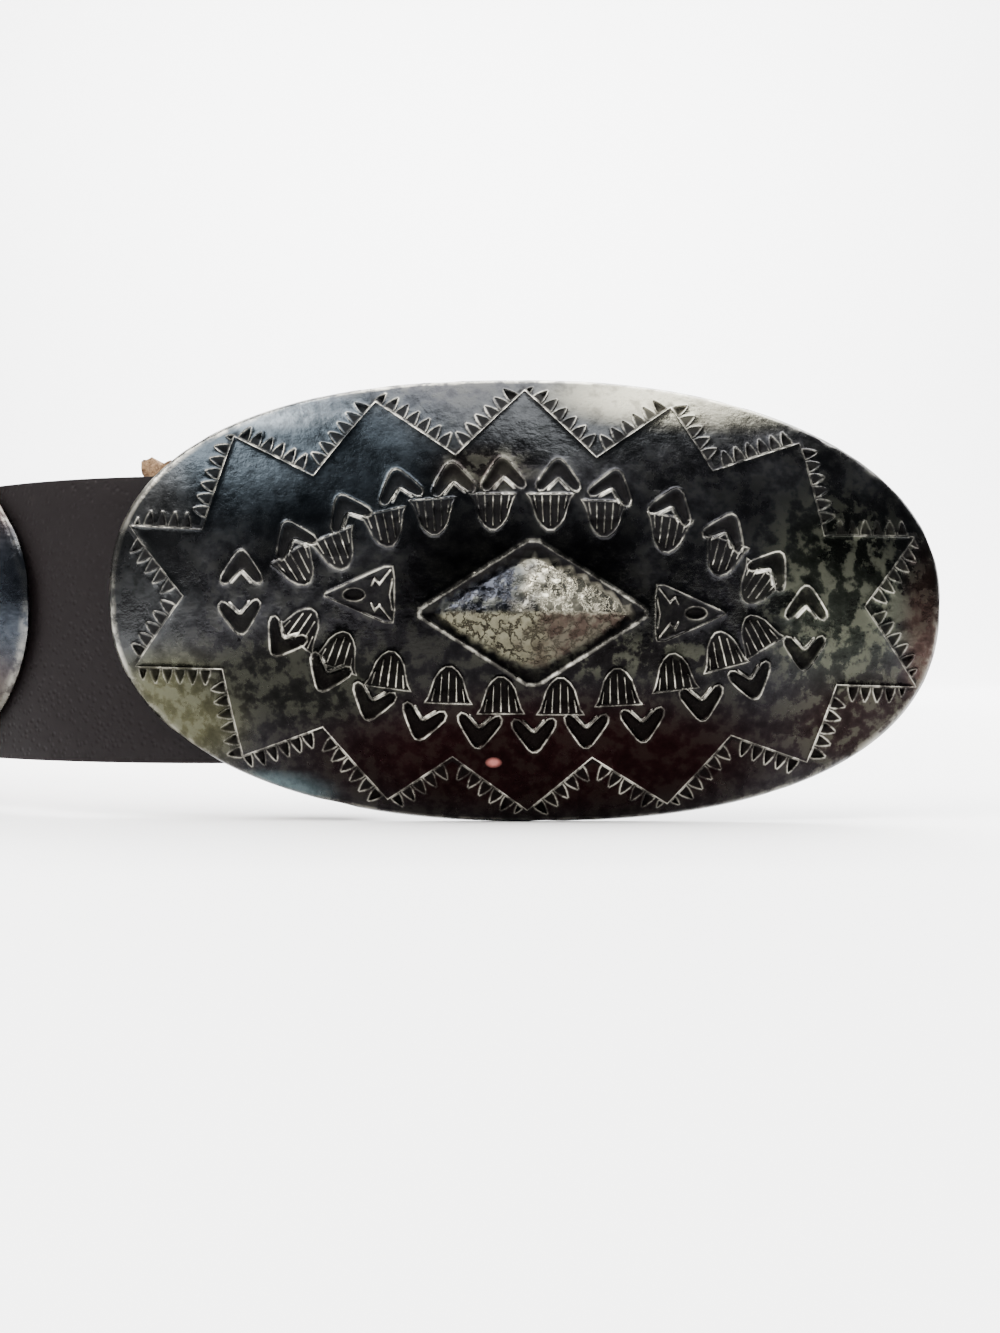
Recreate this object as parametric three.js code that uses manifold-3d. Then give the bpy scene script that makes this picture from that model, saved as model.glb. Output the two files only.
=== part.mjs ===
// Concho belt, unfastened and standing on its lower edge in an open curve: a leather strap, a large oval plate
// buckle with stamped work at one end, and a row of smaller oval conchos that thread on the strap by two loops each.
// Millimetres, +Z up. The buckle faces -Y, and the strap leaves it towards -X and turns back and round to the right.
import * as THREE from "three";
import { mergeVertices } from "three/addons/utils/BufferGeometryUtils.js";
import Module from "manifold-3d";

const wasm = await Module();
wasm.setup();

// Gaps
const clearance = 0.3; // between pieces that touch
const layerGap = 0.5; // between the strap and its folded tab
const rimGap = 0.4; // between the strap and the rims of the conchos
const plateGap = 0.6; // between the strap's fold and the buckle's hollow
const legGap = 0.6; // between the strap's edges and the legs of the fold-back bar
const cutterMargin = 1; // how far a cutter reaches past what it cuts

// Strap
const strapWidth = 38;
const strapThickness = 3;
const strapDrop = 2.4; // the strap's middle lies this far below the buckle's
const tongueLength = 175; // bare strap beyond the tip of the last concho
const tongueNose = 24; // length of the rounded end
const tongueTurn = 60;
const holeDiameter = 5;
const holeCount = 6;
const holeSpacing = 22;
const holeFromTip = 38;

// Buckle plate
const buckleLength = 108.5;
const buckleHeight = 57.6;
const buckleDome = 7.5;
const buckleWall = 1.3;
const buckleEdge = 0.9; // upright edge of the rim
const buckleBlunt = { leftTop: 2.45, rightTop: 2.15, rightBottom: 2.4, leftBottom: 2.2 };

// Conchos
const conchoCount = 7;
const conchoLength = 76;
const conchoHeight = 50;
const conchoDome = 6.5;
const conchoWall = 1.2;
const conchoEdge = 0.8;
const conchoBlunt = { leftTop: 2.1, rightTop: 2.1, rightBottom: 2.1, leftBottom: 2.1 };
const firstConchoLift = 1.9; // the first one has slipped up, above the strap's middle
const firstGap = 12.2; // bare strap between the buckle and the first concho
const conchoGap = 12; // bare strap between two conchos
const conchoTurn = 23; // bend of the strap between two conchos

// Both kinds of plate
const domeSharpness = 2.3; // power of the dome's profile, 2 being a parabola
const footShare = 0.5; // share of a plate's wall that the feet of its fittings reach into
const bossFootWalls = 2; // a boss's foot lies this many walls below the plate's crown
const bossHollowShare = 0.5; // share of a boss that the hollow under it takes

// First bend of the strap, which starts behind the buckle
const firstBend = { insideTip: 12, length: 32, turn: 32 };

// Fold-back bar, tab and rivets
const barDiameter = 2.4;
const barSlack = 0.4; // free play of the bar in the fold
const barFromMiddle = 22;
const rampRun = 10; // stretch on which the strap closes on its tab
const tabFromTip = 3; // the tab stops this far inside the buckle's left tip
const tabSkew = 2.6; // the tab lies askew by this much at its free end
const rivetFromMiddle = 37;
const rivetSpacing = 18;
const rivetShank = 3;
const rivetHead = 8;
const rivetHeadHeight = 1.1;
const rivetShoulder = { diameter: 5.4, height: 0.9 }; // where the low head's slope turns flatter

// Hook on the buckle's other side
const hookWidth = 4.4;
const hookThickness = 2;
const hookFromMiddle = 33;
const hookReach = 8;
const hookChamfer = 1;

// Loops behind the conchos
const loopWidth = 5;
const loopThickness = 1.2;
const loopSpacing = 24;

// Raised diamonds and the sunk fields round them
const buckleBoss = { halfLength: 12.2, halfHeight: 6.9, height: 2.6, x: 0.9, y: -1.9 };
const buckleField = { halfLength: 14.8, halfHeight: 9.4, depth: 0.6 };
const conchoBoss = { halfLength: 8.6, halfHeight: 5, height: 2, x: 0, y: 0 };
const conchoField = { halfLength: 10.2, halfHeight: 6.6, depth: 0.5 };
const lozengeCut = 0.05; // share of the lozenge's half sizes that its blunt corners take

// Stamped work
const stampDepth = 0.4;
const lineWidth = 0.8;
const chevron = { width: 5.4, height: 4.8, armEnd: 1.2, armSlant: 0.45, point: 2.4 };
const fan = { width: 5, height: 4.6, waist: 4.2, nose: 1.6 };
const arrow = { length: 8.6, width: 7.4, barb: 1.8, notch: 2.7, stem: 2.6, foot: 3.6 };

// The zigzag on the buckle: each point near the rim and the valley after it, going round clockwise, as shares of
// the plate's half length and half height
const buckleZigzag = [
  { tipX: 0.0, tipY: 0.943, valleyX: 0.165, valleyY: 0.615 },
  { tipX: 0.347, tipY: 0.862, valleyX: 0.437, valleyY: 0.559 },
  { tipX: 0.654, tipY: 0.703, valleyX: 0.7, valleyY: 0.278 },
  { tipX: 0.93, tipY: 0.284, valleyX: 0.798, valleyY: -0.032 },
  { tipX: 0.938, tipY: -0.391, valleyX: 0.732, valleyY: -0.379 },
  { tipX: 0.672, tipY: -0.728, valleyX: 0.481, valleyY: -0.602 },
  { tipX: 0.34, tipY: -0.915, valleyX: 0.156, valleyY: -0.699 },
  { tipX: 0.006, tipY: -0.945, valleyX: -0.17, valleyY: -0.695 },
  { tipX: -0.327, tipY: -0.895, valleyX: -0.473, valleyY: -0.565 },
  { tipX: -0.671, tipY: -0.699, valleyX: -0.71, valleyY: -0.31 },
  { tipX: -0.93, tipY: -0.298, valleyX: -0.805, valleyY: 0.014 },
  { tipX: -0.945, tipY: 0.336, valleyX: -0.758, valleyY: 0.307 },
  { tipX: -0.693, tipY: 0.735, valleyX: -0.494, valleyY: 0.538 },
  { tipX: -0.356, tipY: 0.89, valleyX: -0.162, valleyY: 0.625 },
];

// Chevron stamps on the buckle: middles as shares of the half sizes, and the way the point looks, in degrees
const buckleChevrons = [
  { x: -0.661, y: 0.143, turn: 90 },
  { x: -0.542, y: 0.271, turn: 115 },
  { x: -0.415, y: 0.386, turn: 117 },
  { x: -0.294, y: 0.497, turn: 105 },
  { x: -0.168, y: 0.524, turn: 97 },
  { x: -0.052, y: 0.546, turn: 94 },
  { x: 0.076, y: 0.541, turn: 89 },
  { x: 0.203, y: 0.492, turn: 73 },
  { x: 0.342, y: 0.412, turn: 70 },
  { x: 0.468, y: 0.302, turn: 65 },
  { x: 0.574, y: 0.142, turn: 55 },
  { x: 0.654, y: -0.013, turn: 89 },
  { x: 0.65, y: -0.246, turn: -89 },
  { x: 0.526, y: -0.374, turn: -74 },
  { x: 0.409, y: -0.467, turn: -84 },
  { x: 0.272, y: -0.561, turn: -86 },
  { x: 0.141, y: -0.587, turn: -90 },
  { x: 0.02, y: -0.606, turn: -88 },
  { x: -0.108, y: -0.587, turn: -95 },
  { x: -0.241, y: -0.552, turn: -105 },
  { x: -0.357, y: -0.466, turn: -107 },
  { x: -0.461, y: -0.342, turn: -114 },
  { x: -0.565, y: -0.191, turn: -123 },
  { x: -0.664, y: -0.089, turn: -87 },
];

// Fan stamps on the buckle, whose noses look to the middle
const buckleFans = [
  { x: -0.524, y: 0.129, turn: -60 },
  { x: -0.432, y: 0.199, turn: -68 },
  { x: -0.32, y: 0.296, turn: -78 },
  { x: -0.211, y: 0.348, turn: -86 },
  { x: -0.075, y: 0.37, turn: -90 },
  { x: 0.057, y: 0.37, turn: -90 },
  { x: 0.181, y: 0.339, turn: -92 },
  { x: 0.327, y: 0.274, turn: -100 },
  { x: 0.453, y: 0.172, turn: -108 },
  { x: 0.531, y: 0.049, turn: -125 },
  { x: 0.533, y: -0.151, turn: 120 },
  { x: 0.453, y: -0.226, turn: 105 },
  { x: 0.341, y: -0.323, turn: 97 },
  { x: 0.212, y: -0.388, turn: 93 },
  { x: 0.08, y: -0.428, turn: 90 },
  { x: -0.057, y: -0.424, turn: 90 },
  { x: -0.177, y: -0.379, turn: 88 },
  { x: -0.313, y: -0.313, turn: 82 },
  { x: -0.427, y: -0.226, turn: 70 },
  { x: -0.512, y: -0.12, turn: 55 },
];

const buckleArrows = [
  { x: -0.378, y: 0.012, turn: 180 },
  { x: 0.374, y: -0.068, turn: 0 },
];

// The zigzag on a concho has evenly set points
const conchoZigzag = { points: 8, tipShare: 0.9, valleyShare: 0.68 };

// Facets
const buckleSides = 44;
const buckleRings = 4;
const buckleHollowSides = 32;
const buckleHollowRings = 3;
const conchoSides = 24;
const conchoRings = 2;
const conchoHollowSides = 16;
const conchoHollowRings = 2;
const ringSpread = 0.8; // power that sets a dome's rings closer together towards its rim
const roundSides = 10;
const bendFacet = 9; // degrees of bend to a facet of the strap
const foldFacet = 30;
const noseFacets = 5;
const bluntTip = 0.2; // share of the width that stays at the tongue's very end
const probeStep = 1; // spacing of the places at which the buckle's hollow is held clear of the strap

// Levels that follow from the sizes. Depths count from the waist side of the folded tab, which lies on y = 0 behind
// the buckle, and grow outwards; heights count from the buckle's lowest point.
const foldRadius = barDiameter / 2 + barSlack + strapThickness / 2;
const barDepth = strapThickness / 2 + foldRadius;
const outerDepth = strapThickness + layerGap + strapThickness / 2; // middle of the strap outside its tab
const strapLevel = buckleHeight / 2 - strapDrop;
const conchoDrop = strapLevel - conchoHeight / 2; // the conchos stand as low as the buckle does
const loopSlack = Math.max(firstConchoLift, Math.abs(conchoDrop)) + clearance; // on each side of the strap
const buckleOval = { halfLength: buckleLength / 2, halfHeight: buckleHeight / 2, blunt: buckleBlunt };
const conchoOval = { halfLength: conchoLength / 2, halfHeight: conchoHeight / 2, blunt: conchoBlunt };
const loopHalfSpan = (loopSpacing + loopWidth) / 2;

// Solids

// A closed geometry as a solid, its shared corners merged and its collapsed faces left out.
function solidOf(geometry) {
  const bare = geometry.index ? geometry.toNonIndexed() : geometry.clone();
  bare.deleteAttribute("normal");
  bare.deleteAttribute("uv");
  const merged = mergeVertices(bare, 1e-4);
  const corners = merged.index.array;
  const kept = [];
  for (let i = 0; i < corners.length; i += 3) {
    const [a, b, c] = corners.subarray(i, i + 3);
    if (a !== b && b !== c && c !== a) kept.push(a, b, c);
  }
  return new wasm.Manifold(
    new wasm.Mesh({
      numProp: 3,
      vertProperties: new Float32Array(merged.attributes.position.array),
      triVerts: new Uint32Array(kept),
    }),
  );
}

// A solid as a geometry with flat facets.
function geometryOf(solid) {
  const mesh = solid.getMesh();
  const geometry = new THREE.BufferGeometry();
  geometry.setAttribute("position", new THREE.BufferAttribute(mesh.vertProperties, 3));
  geometry.setIndex(new THREE.BufferAttribute(mesh.triVerts, 1));
  const flat = geometry.toNonIndexed();
  flat.computeVertexNormals();
  return flat;
}

function joined(solids) {
  return solids.reduce((whole, next) => whole.add(next));
}

// Upright prism of a plan outline, from one level to another.
function prism(outline, from, to) {
  const geometry = new THREE.ExtrudeGeometry(new THREE.Shape(outline), { depth: to - from, bevelEnabled: false });
  return solidOf(geometry.translate(0, 0, from));
}

// Profile in x and z, extruded across y about a middle.
function crosswise(profile, width, middle) {
  const geometry = new THREE.ExtrudeGeometry(new THREE.Shape(profile), { depth: width, bevelEnabled: false });
  return solidOf(geometry.rotateX(Math.PI / 2).translate(0, middle + width / 2, 0));
}

// Profile in y and z, extruded along x about a middle.
function lengthwise(profile, width, middle) {
  const geometry = new THREE.ExtrudeGeometry(new THREE.Shape(profile), { depth: width, bevelEnabled: false });
  const turned = new THREE.Matrix4().makeBasis(
    new THREE.Vector3(0, 1, 0),
    new THREE.Vector3(0, 0, 1),
    new THREE.Vector3(1, 0, 0),
  );
  return solidOf(geometry.applyMatrix4(turned).translate(middle - width / 2, 0, 0));
}

// Domed oval plates, made in the plate's own frame: x along it, y across it, z out of its face, rim plane at z = 0

// Power of the oval's outline in the quarter that holds a direction.
function bluntness(blunt, x, y) {
  if (y >= 0) return x < 0 ? blunt.leftTop : blunt.rightTop;
  return x < 0 ? blunt.leftBottom : blunt.rightBottom;
}

// Point of the oval at a turn in radians.
function ovalPoint(oval, turn) {
  const c = Math.cos(turn);
  const s = Math.sin(turn);
  const power = 2 / bluntness(oval.blunt, c, s);
  return new THREE.Vector2(
    oval.halfLength * Math.sign(c) * Math.abs(c) ** power,
    oval.halfHeight * Math.sign(s) * Math.abs(s) ** power,
  );
}

// How far out a point lies, as a share of the way from the middle to the outline.
function ovalShare(oval, x, y) {
  const power = bluntness(oval.blunt, x, y);
  return (Math.abs(x / oval.halfLength) ** power + Math.abs(y / oval.halfHeight) ** power) ** (1 / power);
}

function shrunkOval(oval, by) {
  return { ...oval, halfLength: oval.halfLength - by, halfHeight: oval.halfHeight - by };
}

// Height of a plate's hollow above its rim plane.
function hollowRise({ oval, edge, rise, wall }, x, y) {
  const share = Math.min(1, ovalShare(shrunkOval(oval, wall), x, y));
  return (edge + rise - wall) * (1 - share ** domeSharpness);
}

// Solid under a dome: a turned profile whose circle is stretched to the oval.
function domeSolid({ oval, edge, rise, bottom, sides, rings }) {
  const profile = [new THREE.Vector2(0, bottom), new THREE.Vector2(1, bottom)];
  for (let ring = rings; ring >= 0; ring--) {
    const share = (ring / rings) ** ringSpread;
    profile.push(new THREE.Vector2(share, edge + rise * (1 - share ** domeSharpness)));
  }
  const geometry = new THREE.LatheGeometry(profile, sides).rotateX(Math.PI / 2);
  const position = geometry.getAttribute("position");
  for (let i = 0; i < position.count; i++) {
    const x = position.getX(i);
    const y = position.getY(i);
    const onOutline = ovalPoint(oval, Math.atan2(y, x)).multiplyScalar(Math.hypot(x, y));
    position.setXY(i, onOutline.x, onOutline.y);
  }
  return solidOf(geometry);
}

// Four-sided pyramid on a lozenge base.
function lozengePyramid(boss, share, from, to) {
  const geometry = new THREE.ConeGeometry(1, to - from, 4)
    .rotateX(Math.PI / 2)
    .scale(boss.halfLength * share, boss.halfHeight * share, 1)
    .translate(boss.x, boss.y, (to + from) / 2);
  return solidOf(geometry);
}

// Outline of a lozenge with its corners cut off.
function lozenge({ halfLength, halfHeight }, { x, y }) {
  const near = lozengeCut;
  const far = 1 - lozengeCut;
  const corners = [
    [far, -near],
    [far, near],
    [near, far],
    [-near, far],
    [-far, near],
    [-far, -near],
    [-near, -far],
    [near, -far],
  ];
  return corners.map(([along, up]) => new THREE.Vector2(x + halfLength * along, y + halfHeight * up));
}

// A hollow plate with its boss and stamps.
function domedPlate(plate) {
  const { oval, edge, rise, wall, boss, field } = plate;
  const crown = edge + rise;
  const peak = crown + boss.height;
  const above = peak + cutterMargin;
  const below = -cutterMargin;
  const face = domeSolid({ ...plate, bottom: 0 });
  const sunkFace = (depth) => domeSolid({ ...plate, edge: edge - depth, bottom: below });
  const marks = joined(plate.stamps(above)).subtract(sunkFace(stampDepth));
  const fieldCut = prism(lozenge(field, boss), 0, above).subtract(sunkFace(field.depth));
  const foot = crown - wall * bossFootWalls;
  const spread = (peak - foot) / (boss.height + field.depth);
  const raised = lozengePyramid(boss, spread, foot, peak).intersect(prism(lozenge(boss, boss), 0, above));
  const hollow = domeSolid({
    oval: shrunkOval(oval, wall),
    edge: 0,
    rise: crown - wall,
    bottom: below,
    sides: plate.hollowSides,
    rings: plate.hollowRings,
  });
  const hollowPeak = crown - wall * bossHollowShare + boss.height * bossHollowShare;
  const bossHollow = lozengePyramid(boss, bossHollowShare, foot + wall * bossHollowShare, hollowPeak);
  return face.subtract(marks).subtract(fieldCut).add(raised).subtract(hollow).subtract(bossHollow);
}

// Stamped marks, each outline looking along +X about its own middle

function chevronOutline({ width, height, armEnd, armSlant, point }) {
  const back = -height / 2;
  const front = height / 2;
  return [
    [front, 0],
    [back, width / 2],
    [back - armSlant, width / 2 - armEnd],
    [front - point, 0],
    [back - armSlant, armEnd - width / 2],
    [back, -width / 2],
  ];
}

function fanOutline({ width, height, waist, nose }) {
  const back = -height / 2;
  const front = height / 2;
  return [
    [front, -nose / 2],
    [front, nose / 2],
    [0, waist / 2],
    [back, width / 2],
    [back, -width / 2],
    [0, -waist / 2],
  ];
}

function arrowOutline({ length, width, barb, notch, stem, foot }) {
  const back = -length / 2;
  return [
    [length / 2, 0],
    [back + barb, width / 2],
    [back + notch, stem / 2],
    [back, foot / 2],
    [back, -foot / 2],
    [back + notch, -stem / 2],
    [back + barb, -width / 2],
  ];
}

// Prisms of one outline at each row of a table of places.
function stampsAt(places, outline, oval, top) {
  return places.map(({ x, y, turn }) => {
    const middle = new THREE.Vector2(x * oval.halfLength, y * oval.halfHeight);
    const angle = THREE.MathUtils.degToRad(turn);
    const corners = outline.map(([along, across]) =>
      new THREE.Vector2(along, across).rotateAround(new THREE.Vector2(), angle).add(middle),
    );
    return prism(corners, 0, top);
  });
}

// A zigzag line's outline, moved inwards by an offset. Its corners go round clockwise.
function offsetOutline(corners, offset) {
  const count = corners.length;
  return corners.map((corner, i) => {
    const arriving = corner.clone().sub(corners[(i + count - 1) % count]).normalize();
    const leaving = corners[(i + 1) % count].clone().sub(corner).normalize();
    const inward = new THREE.Vector2(arriving.y + leaving.y, -arriving.x - leaving.x).normalize();
    const spread = inward.dot(new THREE.Vector2(leaving.y, -leaving.x));
    return corner.clone().addScaledVector(inward, offset / spread);
  });
}

function zigzagRing(corners, top) {
  const inside = prism(offsetOutline(corners, lineWidth / 2), -cutterMargin, top + cutterMargin);
  return prism(offsetOutline(corners, -lineWidth / 2), 0, top).subtract(inside);
}

function buckleZigzagCorners({ halfLength, halfHeight }) {
  return buckleZigzag.flatMap(({ tipX, tipY, valleyX, valleyY }) => [
    new THREE.Vector2(tipX * halfLength, tipY * halfHeight),
    new THREE.Vector2(valleyX * halfLength, valleyY * halfHeight),
  ]);
}

function conchoZigzagCorners(oval) {
  const { points, tipShare, valleyShare } = conchoZigzag;
  const corners = [];
  for (let i = 0; i < points; i++) {
    const tip = (-2 * Math.PI * i) / points;
    corners.push(ovalPoint(oval, tip).multiplyScalar(tipShare));
    corners.push(ovalPoint(oval, tip - Math.PI / points).multiplyScalar(valleyShare));
  }
  return corners;
}

const bucklePlate = {
  oval: buckleOval,
  edge: buckleEdge,
  rise: buckleDome,
  wall: buckleWall,
  boss: buckleBoss,
  field: buckleField,
  sides: buckleSides,
  rings: buckleRings,
  hollowSides: buckleHollowSides,
  hollowRings: buckleHollowRings,
  stamps: (top) => [
    zigzagRing(buckleZigzagCorners(buckleOval), top),
    ...stampsAt(buckleChevrons, chevronOutline(chevron), buckleOval, top),
    ...stampsAt(buckleFans, fanOutline(fan), buckleOval, top),
    ...stampsAt(buckleArrows, arrowOutline(arrow), buckleOval, top),
  ],
};

const conchoPlate = {
  oval: conchoOval,
  edge: conchoEdge,
  rise: conchoDome,
  wall: conchoWall,
  boss: conchoBoss,
  field: conchoField,
  sides: conchoSides,
  rings: conchoRings,
  hollowSides: conchoHollowSides,
  hollowRings: conchoHollowRings,
  stamps: (top) => [zigzagRing(conchoZigzagCorners(conchoOval), top)],
};

// The strap's route in plan: straight and evenly bent stretches, with turns in degrees, positive to the left of the
// way that it runs. It starts at the tab's free end, and the strap's outer face is always on its left.
function strapStretches() {
  const toBend = buckleOval.halfLength - firstBend.insideTip - barFromMiddle;
  const tabInBend = Math.max(0, firstBend.insideTip - tabFromTip);
  const outerRadius = firstBend.length / THREE.MathUtils.degToRad(firstBend.turn);
  const tabRadius = outerRadius - strapThickness - layerGap;
  const drop = barDepth + foldRadius - outerDepth;
  const rampTurn = THREE.MathUtils.radToDeg(2 * Math.atan(drop / rampRun));
  const rampArc = (rampRun / 2 / Math.sin(THREE.MathUtils.degToRad(rampTurn))) * THREE.MathUtils.degToRad(rampTurn);
  const firstStraight = firstBend.insideTip + firstGap + conchoOval.halfLength + loopHalfSpan - firstBend.length;
  const stretches = [
    { name: "tabEnd", length: tabInBend, turn: THREE.MathUtils.radToDeg(tabInBend / tabRadius) },
    { name: "tab", length: toBend, turn: 0 },
    { name: "fold", length: Math.PI * foldRadius, turn: -180 },
    { name: "rampDown", length: rampArc, turn: -rampTurn },
    { name: "rampOut", length: rampArc, turn: rampTurn },
    { name: "riveted", length: toBend - rampRun, turn: 0 },
    { name: "firstBend", length: firstBend.length, turn: -firstBend.turn },
    { name: "concho1", length: firstStraight, turn: 0 },
  ];
  for (let i = 2; i <= conchoCount; i++) {
    stretches.push({ name: `bend${i}`, length: conchoLength + conchoGap - 2 * loopHalfSpan, turn: -conchoTurn });
    stretches.push({ name: `concho${i}`, length: 2 * loopHalfSpan, turn: 0 });
  }
  const tongue = conchoOval.halfLength - loopHalfSpan + tongueLength - tongueNose;
  stretches.push({ name: "tongue", length: tongue, turn: -tongueTurn });
  stretches.push({ name: "nose", length: tongueNose, turn: 0 });
  return stretches.filter(({ length }) => length > 0);
}

// Place on a laid stretch at a distance from its start, with its heading and its outward direction.
function placeIn({ start, heading, length, turn }, distance) {
  const turned = (THREE.MathUtils.degToRad(turn) * distance) / length;
  const chord = turned === 0 ? distance : (distance * Math.sin(turned / 2)) / (turned / 2);
  const way = heading + turned / 2;
  const point = new THREE.Vector2(Math.cos(way), Math.sin(way)).multiplyScalar(chord).add(start);
  const ahead = heading + turned;
  return { point, heading: ahead, outward: new THREE.Vector2(-Math.sin(ahead), Math.cos(ahead)) };
}

function layRoute(stretches, start, heading) {
  const laid = [];
  let next = { point: start, heading };
  let along = 0;
  for (const stretch of stretches) {
    const here = { ...stretch, along, start: next.point, heading: next.heading };
    laid.push(here);
    next = placeIn(here, stretch.length);
    along += stretch.length;
  }
  return laid;
}

function stretchNamed(route, name) {
  return route.find((stretch) => stretch.name === name);
}

function placeOn(route, along) {
  const stretch = route.findLast((candidate) => candidate.along <= along) ?? route[0];
  return placeIn(stretch, along - stretch.along);
}

// The route with the fold round the bar, where the strap's two layers lie square to the buckle.
function beltRoute() {
  const stretches = strapStretches();
  const trial = stretchNamed(layRoute(stretches, new THREE.Vector2(), 0), "fold");
  const fold = new THREE.Vector2(-barFromMiddle, -strapThickness / 2);
  const start = trial.start.clone().negate().rotateAround(new THREE.Vector2(), -trial.heading).add(fold);
  return layRoute(stretches, start, -trial.heading);
}

const route = beltRoute();
const strapEnd = route.at(-1).along + route.at(-1).length;

// Distances along the strap at which its cross-sections stand.
function strapStations() {
  const stations = [0];
  for (const { name, along, length, turn } of route) {
    const facet = name === "fold" ? foldFacet : bendFacet;
    const steps = name === "nose" ? noseFacets : Math.max(1, Math.ceil(Math.abs(turn) / facet));
    for (let i = 1; i <= steps; i++) {
      const share = name === "nose" ? Math.sin(((i / steps) * Math.PI) / 2) : i / steps;
      stations.push(along + length * share);
    }
  }
  return stations;
}

// Share of the full width that the strap has at a distance: the tongue's end is rounded.
function widthShare(along) {
  const intoNose = Math.max(0, along - (strapEnd - tongueNose)) / tongueNose;
  return Math.max(bluntTip, Math.sqrt(Math.max(0, 1 - intoNose ** 2)));
}

// Height that the askew tab gains towards its free end.
function tabLift(along) {
  return tabSkew * Math.max(0, 1 - along / stretchNamed(route, "fold").along);
}

// Round cutter across the strap's wall at a place.
function punch(place, level, depth, diameter) {
  const geometry = new THREE.CylinderGeometry(diameter / 2, diameter / 2, depth, roundSides)
    .rotateZ(Math.atan2(place.outward.y, place.outward.x) - Math.PI / 2)
    .translate(place.point.x, place.point.y, level);
  return solidOf(geometry);
}

// The strap: a box bent along the route, then punched.
function strapSolid() {
  const stations = strapStations();
  const steps = stations.length - 1;
  const geometry = new THREE.BoxGeometry(steps, 1, 1, steps, 1, 1).translate(steps / 2, 0, 0);
  const position = geometry.getAttribute("position");
  for (let i = 0; i < position.count; i++) {
    const along = stations[Math.round(position.getX(i))];
    const place = placeOn(route, along);
    const point = place.point.clone().addScaledVector(place.outward, -position.getZ(i) * strapThickness);
    const up = position.getY(i) * strapWidth * widthShare(along) + tabLift(along);
    position.setXYZ(i, point.x, point.y, strapLevel + up);
  }
  const holes = [];
  for (let i = 0; i < holeCount; i++) {
    const place = placeOn(route, strapEnd - holeFromTip - i * holeSpacing);
    holes.push(punch(place, strapLevel, strapThickness + 2 * cutterMargin, holeDiameter));
  }
  const throughBoth = 2 * (outerDepth + strapThickness / 2 + cutterMargin);
  for (const level of rivetLevels()) {
    holes.push(punch(rivetPlace(), level, throughBoth, rivetShank + 2 * clearance));
  }
  return solidOf(geometry).subtract(joined(holes));
}

function rivetPlace() {
  return { point: new THREE.Vector2(-rivetFromMiddle, 0), outward: new THREE.Vector2(0, -1) };
}

function rivetLevels() {
  return [strapLevel + rivetSpacing / 2, strapLevel - rivetSpacing / 2];
}

// A rivet turned about its shank, with a low head outside the strap and a flat one on the tab. Its own y is outwards.
function rivetSolid() {
  const outerFace = outerDepth + strapThickness / 2 + clearance;
  const innerFace = -clearance;
  const profile = [
    [0, innerFace - rivetHeadHeight],
    [rivetHead / 2, innerFace - rivetHeadHeight],
    [rivetHead / 2, innerFace],
    [rivetShank / 2, innerFace],
    [rivetShank / 2, outerFace],
    [rivetHead / 2, outerFace],
    [rivetShoulder.diameter / 2, outerFace + rivetShoulder.height],
    [0, outerFace + rivetHeadHeight],
  ];
  return solidOf(new THREE.LatheGeometry(profile.map(([x, y]) => new THREE.Vector2(x, y)), roundSides));
}

// Depth of the buckle's rim plane: it clears the strap's fold and both its layers everywhere under the plate.
function rimDepth() {
  const edgeBelow = -strapDrop - strapWidth / 2;
  const edgeAbove = strapWidth / 2 - strapDrop;
  const fold = stretchNamed(route, "fold");
  const depths = [outerDepth + strapThickness / 2];
  for (let along = fold.along; along < stretchNamed(route, "firstBend").along; along += probeStep) {
    const { point, outward } = placeOn(route, along);
    const outside = point.clone().addScaledVector(outward, strapThickness / 2);
    const room = Math.min(hollowRise(bucklePlate, outside.x, edgeBelow), hollowRise(bucklePlate, outside.x, edgeAbove));
    depths.push(-outside.y - room);
  }
  return Math.max(...depths) + plateGap;
}

// Bar for the fold, bent like a staple, with its feet in the plate's wall.
function barSolid(rim) {
  const radius = barDiameter / 2;
  const legFromMiddle = strapWidth / 2 + legGap + radius;
  const level = barDepth - rim;
  const rod = new THREE.CylinderGeometry(radius, radius, 2 * legFromMiddle + radius, roundSides);
  const pieces = [solidOf(rod.translate(-barFromMiddle, -strapDrop, level))];
  for (const side of [-1, 1]) {
    const y = side * legFromMiddle - strapDrop;
    const top = hollowRise(bucklePlate, -barFromMiddle, y) + buckleWall * footShare;
    const leg = new THREE.CylinderGeometry(radius, radius, top - level, roundSides).rotateX(Math.PI / 2);
    pieces.push(solidOf(leg.translate(-barFromMiddle, y, (top + level) / 2)));
  }
  return joined(pieces);
}

// Hook for the tongue's holes, whose foot points to the middle of the plate.
function hookSolid(rim) {
  const top = hollowRise(bucklePlate, hookFromMiddle, -strapDrop) + buckleWall * footShare;
  const outer = hookFromMiddle + hookThickness;
  const profile = [
    [outer, top],
    [hookFromMiddle, top],
    [hookFromMiddle, hookThickness - rim],
    [hookFromMiddle - hookReach, hookThickness - rim],
    [hookFromMiddle - hookReach - hookChamfer, hookThickness / 2 - rim],
    [hookFromMiddle - hookReach, -rim],
    [outer - hookChamfer, -rim],
    [outer, hookChamfer - rim],
  ];
  return crosswise(profile.map(([x, z]) => new THREE.Vector2(x, z)), hookWidth, -strapDrop);
}

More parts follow.
